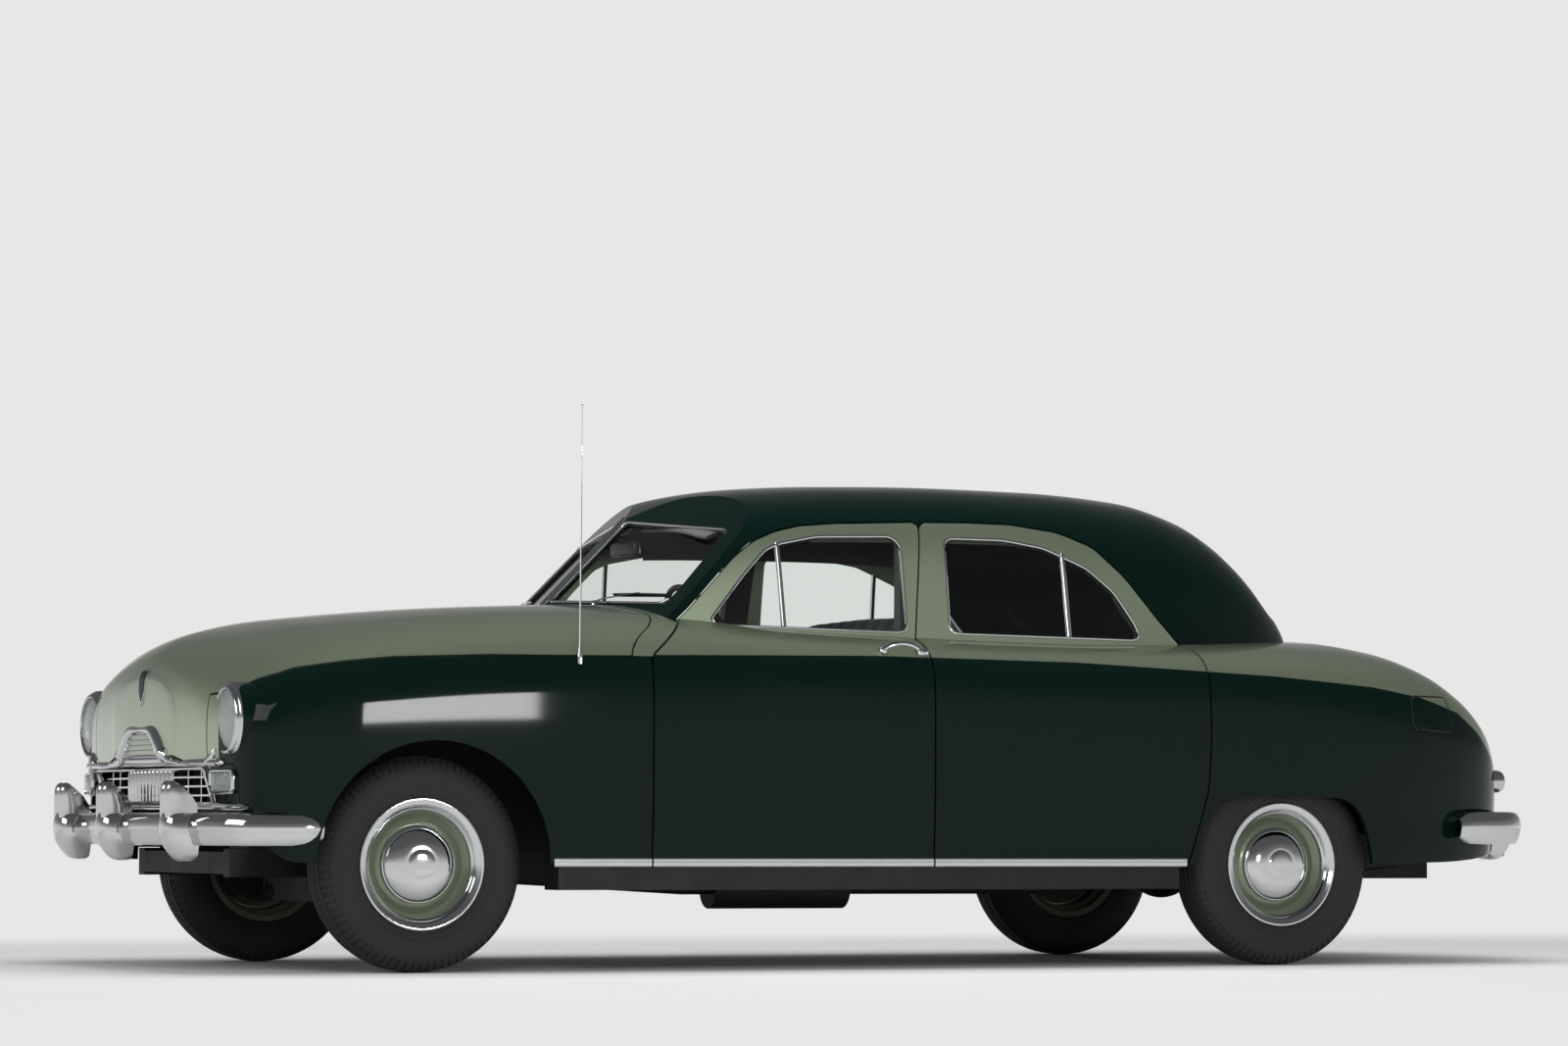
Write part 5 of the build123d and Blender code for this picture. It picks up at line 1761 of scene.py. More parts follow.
def lamp_collars():
    """The fender's metal that rises to each headlamp's outer side and runs out below and above it."""
    x, y, z = HEAD
    rings = []
    for t in np.linspace(0, 1, 50):
        a = math.radians(-118 + 218 * t)
        k = min(min(t, 1 - t) / 0.25, 1.0)
        k = k * k * (3 - 2 * k)
        ring = []
        for out, radius in COLLAR:
            reach = 0.1165 + (radius - 0.1165) * k
            ahead = -0.07 + (out + 0.07) * (0.35 + 0.65 * k)
            ring.append(Vector((x + AXLE + ahead, y + reach * math.cos(a), z + reach * math.sin(a))))
        rings.append(ring)
    pair(lofted("lamp_collar", rings, angle=50), "body", "paint_dark", "dark")


def headlamps():
    """Deep chrome bezel, fluted lens, bowl and shield for each headlamp."""
    lamp_collars()
    bezel = spun("headlamp_bezel", BEZEL, HEAD, "X", 96, angle=30)
    pair(bezel, "body", "chrome", "chrome", instead=("grille",))
    lens = spun("headlamp_lens", LENS, HEAD, "X", 80)
    pair(lens, "body", "lamp", "lens", instead=("front_lamps",))
    bowl = spun("headlamp_bowl", REFLECTOR, HEAD, "X", 64, angle=50)
    bulb = spun("headlamp_bulb", BULB, HEAD, "X", 24)
    pair(joined("headlamp_bowl", [bowl, bulb]), "body", "chrome", "mirror", instead=("front_lamps",))


# Height at which the parking lamps take the nose's curve
LAMP_Z = 0.6


def on_nose(low_y, high_y, low_z, high_z, proud, bulge):
    """A subdivided block that lies on the nose; its outer face bulges."""
    def shape(x, y, z):
        u = (y - low_y) / (high_y - low_y) * 2 - 1
        v = (z - low_z) / (high_z - low_z) * 2 - 1
        out = proud + bulge * (1 - u * u) * (1 - v * v) if x > 0 else -0.02
        return Vector((front_x(abs(y), LAMP_Z), y, z)) + level(nose_normal(abs(y), LAMP_Z)) * out
    return (9, shape)


def parking_lamps():
    """Rounded square lenses in chrome bezels beside the grille."""
    lens = block("parking_lens", (-0.01, 0.612, 0.573), (0.01, 0.742, 0.63), 0.008, 3,
                 on_nose(0.612, 0.742, 0.573, 0.63, 0.012, 0.007))
    pair(lens, "body", "lamp", "lens", instead=("front_lamps",))
    ring = rounded([(0.606, 0.567), (0.748, 0.567), (0.748, 0.636), (0.606, 0.636)], 0.016)
    ring = evened(closed(ring), 0.008)[:-1]
    path, ups = [], []
    for y, z in ring:
        ups.append(level(nose_normal(y, LAMP_Z)))
        path.append(Vector((front_x(y, LAMP_Z), y, z)) + ups[-1] * 0.004)
    bezel = swept("parking_bezel", path, oval(0.0055, 0.013, 10, 2.4), up=ups, closed_path=True)
    pair(bezel, "body", "chrome", "chrome", instead=("front_lamps",))


# Bumpers, guards and tail lamps

BUMPER_SECTION = [
    (-0.016, 0.0495), (-0.006, 0.052), (0.006, 0.05), (0.016, 0.043), (0.0235, 0.033), (0.028, 0.02),
    (0.03, 0.006), (0.03, -0.003), (0.0285, -0.0055), (0.023, -0.026), (0.015, -0.044), (0.008, -0.0515),
    (-0.002, -0.053), (-0.006, -0.05), (0.002, -0.043), (0.01, -0.025), (0.014, -0.004), (0.014, 0.01),
    (0.01, 0.024), (0.002, 0.036), (-0.008, 0.044), (-0.016, 0.046),
]
FRONT_BUMPER = [
    (0.363, 0.888), (0.47, 0.882), (0.54, 0.872), (0.592, 0.852), (0.63, 0.815), (0.656, 0.75),
    (0.676, 0.67), (0.693, 0.56), (0.707, 0.42), (0.72, 0.26), (0.729, 0.12), (0.732, 0.0),
]
REAR_BUMPER = [
    (-3.832, 0.872), (-3.93, 0.863), (-4.005, 0.847), (-4.062, 0.821), (-4.108, 0.782), (-4.15, 0.725),
    (-4.19, 0.65), (-4.23, 0.55), (-4.264, 0.43), (-4.298, 0.29), (-4.328, 0.13), (-4.338, 0.0),
]
# z, half width, reach forward, reach back of a guard's foot
GUARD_FOOT = [
    (0.351, 0.02, -0.014, 0.034), (0.353, 0.034, -0.003, 0.042), (0.36, 0.044, 0.011, 0.048),
    (0.375, 0.05, 0.026, 0.05), (0.395, 0.056, 0.041, 0.05), (0.415, 0.062, 0.052, 0.05),
    (0.44, 0.0655, 0.058, 0.05), (0.465, 0.0655, 0.059, 0.05), (0.485, 0.061, 0.0565, 0.05),
    (0.5, 0.054, 0.05, 0.048), (0.512, 0.042, 0.038, 0.04), (0.518, 0.022, 0.02, 0.03),
]
# The same of one of the two lobes above it
GUARD_LOBE = [
    (0.47, 0.0255, 0.05, 0.04), (0.5, 0.025, 0.052, 0.046), (0.53, 0.024, 0.052, 0.046),
    (0.56, 0.0235, 0.0525, 0.026), (0.58, 0.022, 0.0515, 0.004), (0.593, 0.0185, 0.047, -0.01),
    (0.602, 0.012, 0.04, -0.02), (0.606, 0.004, 0.032, -0.026),
]
# Half the distance between the lobes, and how full the corners of foot and lobes are
LOBE_HALF, FOOT_SQUARE, LOBE_SQUARE = 0.0255, 0.42, 0.6


def upright(name, rows, x, y, direction, lift, square):
    """A standing form with a rounded front; square tells how full its corners are."""
    rings = []
    for z, half, reach, back in rows:
        ring = []
        for a in np.linspace(-math.pi / 2, math.pi / 2, 21):
            across = math.copysign(abs(math.sin(a)) ** 0.8, math.sin(a))
            ahead = -back + (reach + back) * max(math.cos(a), 0.0) ** square
            ring.append(Vector((x + AXLE + direction * ahead, y + half * across, z + lift)))
        rings.append(ring)
    return lofted(name, rings, angle=60)


def guard(name, x, y):
    """A front guard's foot round the bar and its two standing lobes."""
    forms = ((GUARD_FOOT, y, FOOT_SQUARE), (GUARD_LOBE, y + LOBE_HALF, LOBE_SQUARE),
             (GUARD_LOBE, y - LOBE_HALF, LOBE_SQUARE))
    return [upright(name, rows, x, middle, 1, 0.0, square) for rows, middle, square in forms]


def bumper(name, points, height, direction, tall=1.0):
    """The swept bar of a bumper with rounded ends."""
    half = smooth_path(points, 0.022)
    path = [(x, -y, height) for x, y in half] + [(x, y, height) for x, y in half[::-1][1:]]
    sizes = []
    for i in range(len(path)):
        end = min(i, len(path) - 1 - i)
        k = (0.6, 0.86, 0.97)[end] if end < 3 else 1.0
        sizes.append((k, k * tall))
    section = [(direction * a, b) for a, b in BUMPER_SECTION]
    return swept(name, path, section, sizes=sizes, angle=38)


def smooth_path(points, step):
    """A smooth curve through points at even steps."""
    points = np.array(points, float)
    gaps = np.concatenate([[0.0], np.cumsum(np.linalg.norm(np.diff(points, axis=0), axis=1))])
    fine = np.linspace(0, gaps[-1], 400)
    curve = []
    for column in points.T:
        slopes = np.gradient(column, gaps)
        k = np.clip(np.searchsorted(gaps, fine) - 1, 0, len(gaps) - 2)
        h = gaps[k + 1] - gaps[k]
        t = (fine - gaps[k]) / h
        curve.append((2 * t ** 3 - 3 * t ** 2 + 1) * column[k] + (t ** 3 - 2 * t ** 2 + t) * h * slopes[k]
                     + (3 * t ** 2 - 2 * t ** 3) * column[k + 1] + (t ** 3 - t ** 2) * h * slopes[k + 1])
    return evened(np.stack(curve, 1), step)


# Sides of the arms that carry each bumper
ARMS = ((0.405, 0.455), (-0.455, -0.405))


def bumpers():
    """The two bars with their guards and arms."""
    bar = bumper("front_bumper_bar", FRONT_BUMPER, 0.4535, 1)
    pieces = [bar]
    for x, y in ((0.726, 0.556), (0.758, 0.0), (0.726, -0.556)):
        pieces += guard("front_guard", x, y)
    for low, high in ARMS:
        pieces.append(block("front_arm", (0.48, low, 0.43), (0.69, high, 0.47), 0.003))
    seat(joined("front_bumper_chrome", pieces), "body", "chrome", "chrome", instead=("front_bumper",))
    bar = bumper("rear_bumper_bar", REAR_BUMPER, 0.4705, -1, 1.08)
    pieces = [bar]
    for y in (0.42, -0.42):
        pieces.append(upright("rear_guard", GUARD_FOOT, -4.272, y, -1, 0.006, FOOT_SQUARE))
    for low, high in ARMS:
        pieces.append(block("rear_arm", (-4.29, low, 0.368), (-4.12, high, 0.396), 0.003))
        pieces.append(block("rear_post", (-4.29, low, 0.37), (-4.262, high, 0.44), 0.003))
    seat(joined("rear_bumper_chrome", pieces), "body", "chrome", "chrome", instead=("rear_bumper",))


TAIL_BEZEL = [
    (0.0, 0.034), (0.0, 0.0395), (0.07, 0.0398), (0.084, 0.0385), (0.09, 0.035), (0.088, 0.0325),
    (0.08, 0.0325), (0.06, 0.0335),
]
TAIL_LENS = [
    (0.06, 0.0325), (0.084, 0.0325), (0.0885, 0.029), (0.089, 0.0285), (0.0875, 0.027), (0.09, 0.024),
    (0.0905, 0.023), (0.089, 0.0215), (0.0912, 0.018), (0.0916, 0.017), (0.0902, 0.0155), (0.0922, 0.011),
    (0.0925, 0.0005), (0.06, 0.0005),
]


TAIL_LAMP = (-4.06, 0.64, 0.634)


def tail_lamps():
    """A chrome drum with a ribbed red lens on each rear fender."""
    bezel = spun("tail_bezel", TAIL_BEZEL, TAIL_LAMP, "X", 48, side=-1)
    pair(bezel, "body", "chrome", "chrome", instead=("tail_lamps",))
    lens = spun("tail_lens", TAIL_LENS, TAIL_LAMP, "X", 48, side=-1, angle=50)
    pair(lens, "body", "tail_lamp", "red", instead=("tail_lamps",))


# Height and radius of the antenna's foot, its three rods and the bead on top
MAST = [
    (0.985, 0.0088), (1.0, 0.0088), (1.012, 0.0086), (1.022, 0.0066), (1.036, 0.0052), (1.044, 0.0034),
    (1.046, 0.003), (1.3, 0.0028), (1.302, 0.0022), (1.56, 0.002), (1.562, 0.0015), (1.806, 0.0012),
    (1.808, 0.0026), (1.812, 0.003), (1.816, 0.0026), (1.8178, 0.0012),
]


def antenna_mast():
    """A chrome foot on the fender and a three-step rod."""
    base, tip = (-0.4955, 0.9165, 1.01), (-0.497, 0.921, 1.8178)
    rings = []
    for z, r in MAST:
        t = (z - base[2]) / (tip[2] - base[2])
        x, y = base[0] + (tip[0] - base[0]) * t, base[1] + (tip[1] - base[1]) * t
        rings.append(disc_ring(x, y, z, r, 12))
    seat(lofted("antenna_mast", rings), "body", "chrome", "chrome", instead=("antenna",))


def fuel_door_seam():
    """The shallow seam of the fuel filler door on the left quarter."""
    outline = rounded([(-3.64, 0.812), (-3.64, 0.926), (-3.815, 0.926), (-3.83, 0.8)], 0.02)
    ring = evened(closed(outline), 0.01)[:-1]
    path = [(x, body_y(x, z) - 0.0008, z) for x, z in ring]
    ups = [(0.0, 1.0, 0.0)] * len(path)
    piece = swept("fuel_door_seam", path, oval(0.0022, 0.0022, 6), up=ups, closed_path=True)
    seat(piece, "body", "chassis_black", "seal")


# Windscreen trim and the cabin behind the glass

SCREEN_NORMAL = Vector((1.0, -SCREEN_SWEEP, SCREEN_RAKE)).normalized()
STEER_CENTRE, STEER_TILT, STEER_RADIUS = (-1.18, 0.37, 1.077), math.radians(28), 0.212


def on_screen(y, z, out=0.0):
    """A point of the left pane's plane, moved out along its normal."""
    x = SCREEN_X - (z - SCREEN_Z) * SCREEN_RAKE + SCREEN_SWEEP * y
    return Vector((x, y, z)) + SCREEN_NORMAL * out


def screen_trim():
    """Chrome along the foot, the middle and the head of each pane, a centre bar and a rubber seal."""
    outline = rounded([(0.626, 1.436), (0.61, 1.4475), (0.02, 1.4995), (0.02, 1.2225), (0.64, 1.197),
                       (0.656, 1.212)], 0.02, closed=False)
    path = [on_screen(y, z, 0.001) for y, z in evened(outline, 0.016)]
    lip = swept("screen_lip", path, HALF_ROUND, up=tuple(SCREEN_NORMAL), sizes=[(0.005, 0.005)] * len(path))
    pair(lip, "body", "chrome", "chrome")
    path = [on_screen(0.0, z, 0.0) for z in np.linspace(1.205, 1.512, 20)]
    bar = swept("screen_centre_bar", path, HALF_ROUND, up=(1.0, 0.0, SCREEN_RAKE),
                sizes=[(0.011, 0.01)] * len(path))
    seat(bar, "body", "chrome", "chrome")
    edge = grown(SCREEN_HOLE, -0.002)
    path = [on_screen(y, z, -0.006) for y, z in evened(closed(edge), 0.016)[:-1]]
    seal = swept("screen_seal", path, oval(0.006, 0.0045, 10), up=tuple(SCREEN_NORMAL), closed_path=True)
    pair(seal, "body", "chassis_black", "seal")


def wipers():
    """A pivot, a thin arm and a blade at the foot of each pane."""
    x, y, z = -0.795, 0.33, 1.203
    knob = ((-0.015, 0.0105), (0.004, 0.0105), (0.01, 0.008), (0.014, 0.003))
    pieces = [lofted("wiper_pivot", [disc_ring(x, y, z + out, radius, 16) for out, radius in knob])]
    elbow, reach = Vector((-0.812, 0.362, 1.222)), on_screen(0.5, 1.2255, 0.018)
    arm = [Vector((x, y, 1.212)), elbow, (elbow + reach) / 2, reach]
    pieces.append(swept("wiper_arm", arm, oval(0.0032, 0.0022, 8, 3.0), sizes=[1.3, 1.2, 1.0, 0.8]))
    foot = [(0.355 + 0.29 * t, 1.23 - 0.011 * t, math.sin(math.pi * t)) for t in np.linspace(0, 1, 12)]
    blade = [on_screen(y, z, 0.01 + 0.002 * bow) for y, z, bow in foot]
    pieces.append(swept("wiper_blade", blade, oval(0.002, 0.005, 8, 3.0), up=tuple(SCREEN_NORMAL)))
    pair(joined("wiper", pieces), "body", "chrome", "chrome")
    path = [on_screen(y, z, 0.0035) for y, z, bow in foot]
    lip = swept("wiper_rubber", path, oval(0.0014, 0.005, 8), up=tuple(SCREEN_NORMAL))
    pair(lip, "body", "chassis_black", "seal")


def headliner():
    """The cloth under the roof, the posts between the doors and the shelf behind the rear seat."""
    skin = cabin_skin(-3.16, -1.1)
    skin.drop(lambda c: c[:, 2] < 1.425)
    skin.drop(lambda c: screen_side(c) > -0.1)
    whole(skin, "headliner", 0.004, "body", "fabric", ("liner",), offset=-0.0275)
    rings = []
    for z in np.linspace(0.4, 1.462, 14):
        wall = cabin_y(-1.79, max(z, BELT_BASE + 0.005)) - 0.028 if z > 1.05 else 0.738
        middle = -1.768 - 0.075 * max(z - 1.06, 0.0)
        rings.append([Vector((middle + a + AXLE, y, z)) for a, y in
                      ((0.046, wall - 0.045), (0.046, wall), (-0.046, wall), (-0.046, wall - 0.045))])
    pair(lofted("door_post", rings), "body", "fabric", "liner", instead=("roof",))
    shelf = block("parcel_shelf", (-3.33, -0.6, 1.078), (-3.05, 0.6, 1.094), 0.004)
    seat(shelf, "body", "fabric", "liner", instead=("rear_deck",))


# The rear door's card is cut away behind this place, below this height, for the wheel arch
CARD_FOOT, ARCH_TOP = -2.56, 0.7


def door_cards():
    """Cloth panels inside the doors, with a sill ledge and an arm rest."""
    for place, low, high in (("front", -1.745, -0.99), ("rear", -2.64, -1.79)):
        door = f"door_{place}_{{side}}"

        def shape(x, y, z, low=low, high=high, place=place):
            if place == "rear" and z < ARCH_TOP:
                return (CARD_FOOT + (high - CARD_FOOT) * (x - low) / (high - low), y, z)
            return (x, y, z)

        card = block(f"door_card_{place}", (low, 0.842, 0.43), (high, 0.856, 1.01), 0.005, 2, (5, shape))
        rest = block("arm_rest", (low + 0.16, 0.782, 0.78), (low + 0.52, 0.845, 0.825), 0.018, 4)
        piece = joined(f"door_card_{place}", [card, rest])
        pair(piece, door, "fabric", "card", instead=(door,))
        ledge = block(f"window_ledge_{place}", (low, 0.722, 1.004), (high, 0.864, 1.018), 0.006, 3)
        pair(ledge, door, "paint_light", "dash")


# How far a cushion swells, the grid that it swells on, and its sewn channels
PUFF, CUSHION_GRID, CHANNEL_PITCH, CHANNEL_DEPTH = 0.024, 0.014, 0.094, 0.007
CLOTH_PRESSURE, CLOTH_STEPS = 4.0, 20


def puffed(piece, cap):
    """Swells a cushion with the cloth solver, no point moving farther than cap, and smooths it."""
    applied(piece, "REMESH", mode="VOXEL", voxel_size=CUSHION_GRID)
    scene = bpy.context.scene
    rest = np.array([vert.co for vert in piece.data.vertices])
    choose(piece)
    cloth = piece.modifiers.new("Cloth", "CLOTH")
    cloth.settings.use_pressure = True
    cloth.settings.uniform_pressure_force = CLOTH_PRESSURE
    cloth.settings.effector_weights.gravity = 0.0
    for step in range(1, CLOTH_STEPS + 1):
        scene.frame_set(step)
    shown = piece.evaluated_get(bpy.context.evaluated_depsgraph_get())
    swollen = np.array([vert.co for vert in shown.data.vertices])
    piece.modifiers.remove(cloth)
    scene.frame_set(1)
    way = swollen - rest
    size = np.linalg.norm(way, axis=1, keepdims=True)
    way *= np.minimum(1.0, cap / np.maximum(size, 1e-9))
    for vert, point in zip(piece.data.vertices, rest + way):
        vert.co = point
    applied(piece, "SMOOTH", factor=0.5, iterations=4)


def channels(piece, pitch, depth, facing):
    """Sewn channels that run across a cushion's face in the direction facing."""
    for vert in piece.data.vertices:
        share = max(vert.normal.dot(facing), 0.0) ** 0.5
        groove = abs(math.sin(math.pi * vert.co.y / pitch)) ** 0.45
        vert.co = vert.co - vert.normal * (depth * (1.0 - groove) * share)


def bench(name, low, high, back_low, back_high):
    """A bench seat: a cushion and a leaning back with rounded upper corners."""
    lean = back_high[0] - back_low[0]

    def cushion_form(x, y, z):
        nose_ = (x - low[0]) / (high[0] - low[0])
        return (x, y, z - 0.03 * (1 - nose_) * (z > (low[2] + high[2]) / 2))

    def back_form(x, y, z):
        t = (z - back_low[2]) / (back_high[2] - back_low[2])
        k = min(abs(y) / back_high[1], 1.0)
        drop = 0.085 * max((k - 0.55) / 0.45, 0.0) ** 2.2 + 0.012 * k
        thin = 1 - 0.35 * t
        middle = (back_low[0] - 0.075)
        return (middle + (x - middle) * thin + lean * t, y, z - drop * t)

    cushion = block(f"{name}_cushion", low, high, 0.03, 3, (7, cushion_form))
    back = block(f"{name}_back", (back_low[0] - 0.15, -back_high[1], back_low[2]),
                 (back_low[0], back_high[1], back_high[2]), 0.03, 3, (9, back_form))
    for piece, facing in ((cushion, Vector((0.0, 0.0, 1.0))), (back, Vector((1.0, 0.0, 0.2)).normalized())):
        puffed(piece, PUFF)
        channels(piece, CHANNEL_PITCH, CHANNEL_DEPTH, facing)
        choose(piece)
        applied(piece, "SUBSURF", levels=1, render_levels=1)
        bpy.ops.object.shade_smooth()
        seat(piece, "body", "fabric", "cloth", instead=("seats",))


def seats():
    """The two bench seats and the box that carries each cushion."""
    bench("front_seat", (-1.77, -0.665, 0.47), (-1.345, 0.665, 0.64),
          (-1.79, 0.0, 0.56), (-1.905, 0.665, 1.212))
    bench("rear_seat", (-2.815, -0.595, 0.575), (-2.415, 0.595, 0.665),
          (-2.85, 0.0, 0.6), (-2.95, 0.595, 1.06))
    base = block("front_seat_base", (-1.9, -0.65, 0.406), (-1.36, 0.65, 0.476), 0.008)
    rear = block("rear_seat_base", (-2.96, -0.59, 0.514), (-2.43, 0.59, 0.58), 0.008)
    seat(joined("seat_bases", [base, rear]), "body", "chassis_black", "black", instead=("seats",))


def steering_wheel():
    """A thin rim, three spokes, a domed button and a chrome horn ring."""
    centre = Vector(STEER_CENTRE)
    axis = Vector((-math.cos(STEER_TILT), 0.0, math.sin(STEER_TILT)))
    up, across = Vector((math.sin(STEER_TILT), 0.0, math.cos(STEER_TILT))), Vector((0.0, 1.0, 0.0))

    def spot(angle, radius, out):
        return centre + (up * math.sin(angle) + across * math.cos(angle)) * radius + axis * out

    ring = [spot(a, STEER_RADIUS, 0.0) for a in around(72)]
    pieces = [swept("steering_rim", ring, oval(0.0105, 0.0115, 14), up=tuple(axis), closed_path=True)]
    for degrees in (80, 200, 320):
        a = math.radians(degrees + 90)
        arm = [spot(a, 0.01, -0.03), spot(a, 0.06, -0.026), spot(a, 0.14, -0.012), spot(a, 0.206, 0.0)]
        pieces.append(swept("steering_spoke", arm, oval(0.0105, 0.005, 10), up=tuple(axis),
                            sizes=[1.3, 1.1, 0.9, 0.75]))
    rings = []
    for out, radius in ((-0.058, 0.02), (-0.05, 0.027), (-0.026, 0.034), (-0.016, 0.033), (-0.008, 0.026),
                        (-0.004, 0.01)):
        rings.append([spot(a, radius, out) + Vector((AXLE, 0, 0)) for a in around(32)])
    pieces.append(lofted("steering_hub", rings))
    rim = joined("steering_wheel_rim", pieces)
    seat(rim, "steering_wheel", "steering", "plastic", instead=("steering_wheel",))
    ring = [spot(a, 0.112, -0.006) for a in around(56)]
    horn = swept("horn_ring", ring, oval(0.0035, 0.0035, 8), up=tuple(axis), closed_path=True)
    seat(horn, "steering_wheel", "chrome", "chrome")


def dash_fittings():
    """Three dials, a speaker grille, a glove box knob and chrome strips on the dashboard."""
    faces, rims = [], []
    for y, z, r in ((0.235, 1.022, 0.036), (0.37, 1.052, 0.046), (0.505, 1.022, 0.036)):
        place = (-1.0195, y, z)
        face = [(0.0, 0.0005), (0.0, r), (0.003, r), (0.003, 0.0005)]
        rim = [(0.0, r), (0.0, r + 0.006), (0.006, r + 0.005), (0.008, r + 0.001), (0.004, r - 0.002)]
        faces.append(spun("dial_face", face, place, "X", 40, side=-1))
        rims.append(spun("dial_rim", rim, place, "X", 40, side=-1))
    seat(joined("dial_faces", faces), "body", "dash", "dial")
    for z in (0.965, 0.981, 0.997, 1.013):
        rims.append(block("speaker_bar", (-1.024, -0.1, z - 0.003), (-1.012, 0.1, z + 0.003), 0.002, 2))
    rims.append(block("dash_strip", (-1.024, -0.66, 1.044), (-1.012, -0.12, 1.051), 0.002, 2))
    knob = [(0.0, 0.001), (0.0, 0.009), (0.01, 0.011), (0.014, 0.007), (0.015, 0.001)]
    rims.append(spun("glove_knob", knob, (-1.016, -0.37, 1.02), "X", 24, side=-1))
    seat(joined("dash_brightwork", rims), "body", "chrome", "chrome")


def mirror_and_visors():
    """The inside mirror on its stem and the two sun visors under the roof's front edge."""
    shell = block("mirror_shell", (-1.06, -0.105, 1.384), (-1.036, 0.105, 1.432), 0.009, 4)
    path = [(-1.04, 0.0, 1.425), (-1.02, 0.0, 1.452), (-1.032, 0.0, 1.49)]
    stem = swept("mirror_stem", path, oval(0.005, 0.005, 8), up=(0.0, 1.0, 0.0))
    seat(joined("inside_mirror", [shell, stem]), "body", "dash", "seal")
    face = block("mirror_face", (-1.0625, -0.098, 1.39), (-1.0595, 0.098, 1.426), 0.001, 2)
    seat(face, "body", "chrome", "mirror")
    path = [(-1.135 - 0.01 * t, 0.05 + 0.51 * t, 1.488 - 0.048 * t ** 2.5) for t in np.linspace(0, 1, 12)]
    sizes = [0.86] + [1.0] * 10 + [0.86]
    visor = swept("sun_visor", path, oval(0.06, 0.0075, 20, 4.0), up=(0.42, 0.0, 1.0), sizes=sizes)
    pair(visor, "body", "fabric", "liner")


# Carried-over nodes, floor, lamps and camera

NODE_FINISHES = {
    "chassis_black": "black", "engine": "engine", "dash": "dash", "steering": "plastic",
    "chrome": "chrome", "paint_dark": "dark", "paint_light": "light", "wheel_paint": "wheel",
    "glass": "glass", "tyre": "rubber", "fabric": "cloth", "lamp": "lens", "tail_lamp": "red",
}


def finish_cad_nodes():
    """Gives every carried-over node the procedural finish of its slot."""
    for piece in bpy.data.objects:
        if piece.type != "MESH":
            continue
        for slot in piece.material_slots:
            if slot.material:
                name = slot.material.name.split(".")[0].lower()
                key = next((k for k in NODE_FINISHES if k in name), None)
                if key:
                    slot.material = FINISHES[NODE_FINISHES[key]]


BACKDROP, CEILING, FILL = (0.8, 0.8, 0.79, 1.0), (0.1, 0.1, 0.11, 1.0), (0.4, 0.4, 0.41, 1.0)
# Height of the direction and grey of the room that the paint and chrome mirror
ROOM_GREYS = ((0.05, 0.62), (0.16, 0.26), (0.4, 0.12))
FLOOR_SIZE = 60


def backdrop(settings):
    """A pale floor that runs out into the backdrop's colour, with no line between them."""
    f = Finish("studio_floor")
    x, y = f.axes()[:2]
    cloud = f.noise(1.5, 3.0)
    shade = f.mix(cloud, tone(settings.floor_tone, 0.97), tone(settings.floor_tone, 1.03))
    ground = f.surface(Base_Color=shade, Metallic=0.0, Roughness=0.65 + cloud * 0.1, Specular_IOR_Level=0.1)
    glow = f.node("ShaderNodeEmission", None, {"Color": BACKDROP, "Strength": 1.0})
    far = ((x * x * 0.25 + y * y) ** 0.5).step(1.6, 5.0)
    seen, mirrored, through = [f.node("ShaderNodeLightPath", output=f"Is {ray} Ray")
                               for ray in ("Camera", "Glossy", "Transmission")]
    share = far * (seen + mirrored + through).clamped()
    return f.done(f.node("ShaderNodeMixShader", None, {0: share, 1: ground, 2: glow}))


class Room(Finish):
    """The world's light as nodes."""

    def __init__(self, name):
        self.world = bpy.data.worlds.new(name)
        self.world.use_nodes = True
        self.tree = self.world.node_tree
        self.tree.nodes.clear()


def light_room(scene):
    """A pale backdrop to look at, a graded room in what mirrors, and an even fill on the rest."""
    room = Room("studio")
    scene.world = room.world
    direction = room.node("ShaderNodeTexCoord", output="Generated")
    up = room.node("ShaderNodeSeparateXYZ", None, {0: direction}, "Z")
    ramp = room.node("ShaderNodeValToRGB", None, {0: up})
    stops = ramp.socket.node.color_ramp.elements
    stops[0].position, stops[0].color = 0.0, BACKDROP
    stops[1].position, stops[1].color = 1.0, CEILING
    for spot, grey in ROOM_GREYS:
        stops.new(spot).color = (grey, grey, grey, 1.0)
    shown, graded, mixed = [room.node("ShaderNodeBackground", None, {"Color": tint})
                            for tint in (BACKDROP, ramp, FILL)]
    for ray, light in (("Is Glossy Ray", graded), ("Is Transmission Ray", shown), ("Is Camera Ray", shown)):
        seen = room.node("ShaderNodeLightPath", output=ray)
        mixed = room.node("ShaderNodeMixShader", None, {0: seen, 1: mixed, 2: light})
    room.node("ShaderNodeOutputWorld", None, {"Surface": mixed}, output=None)


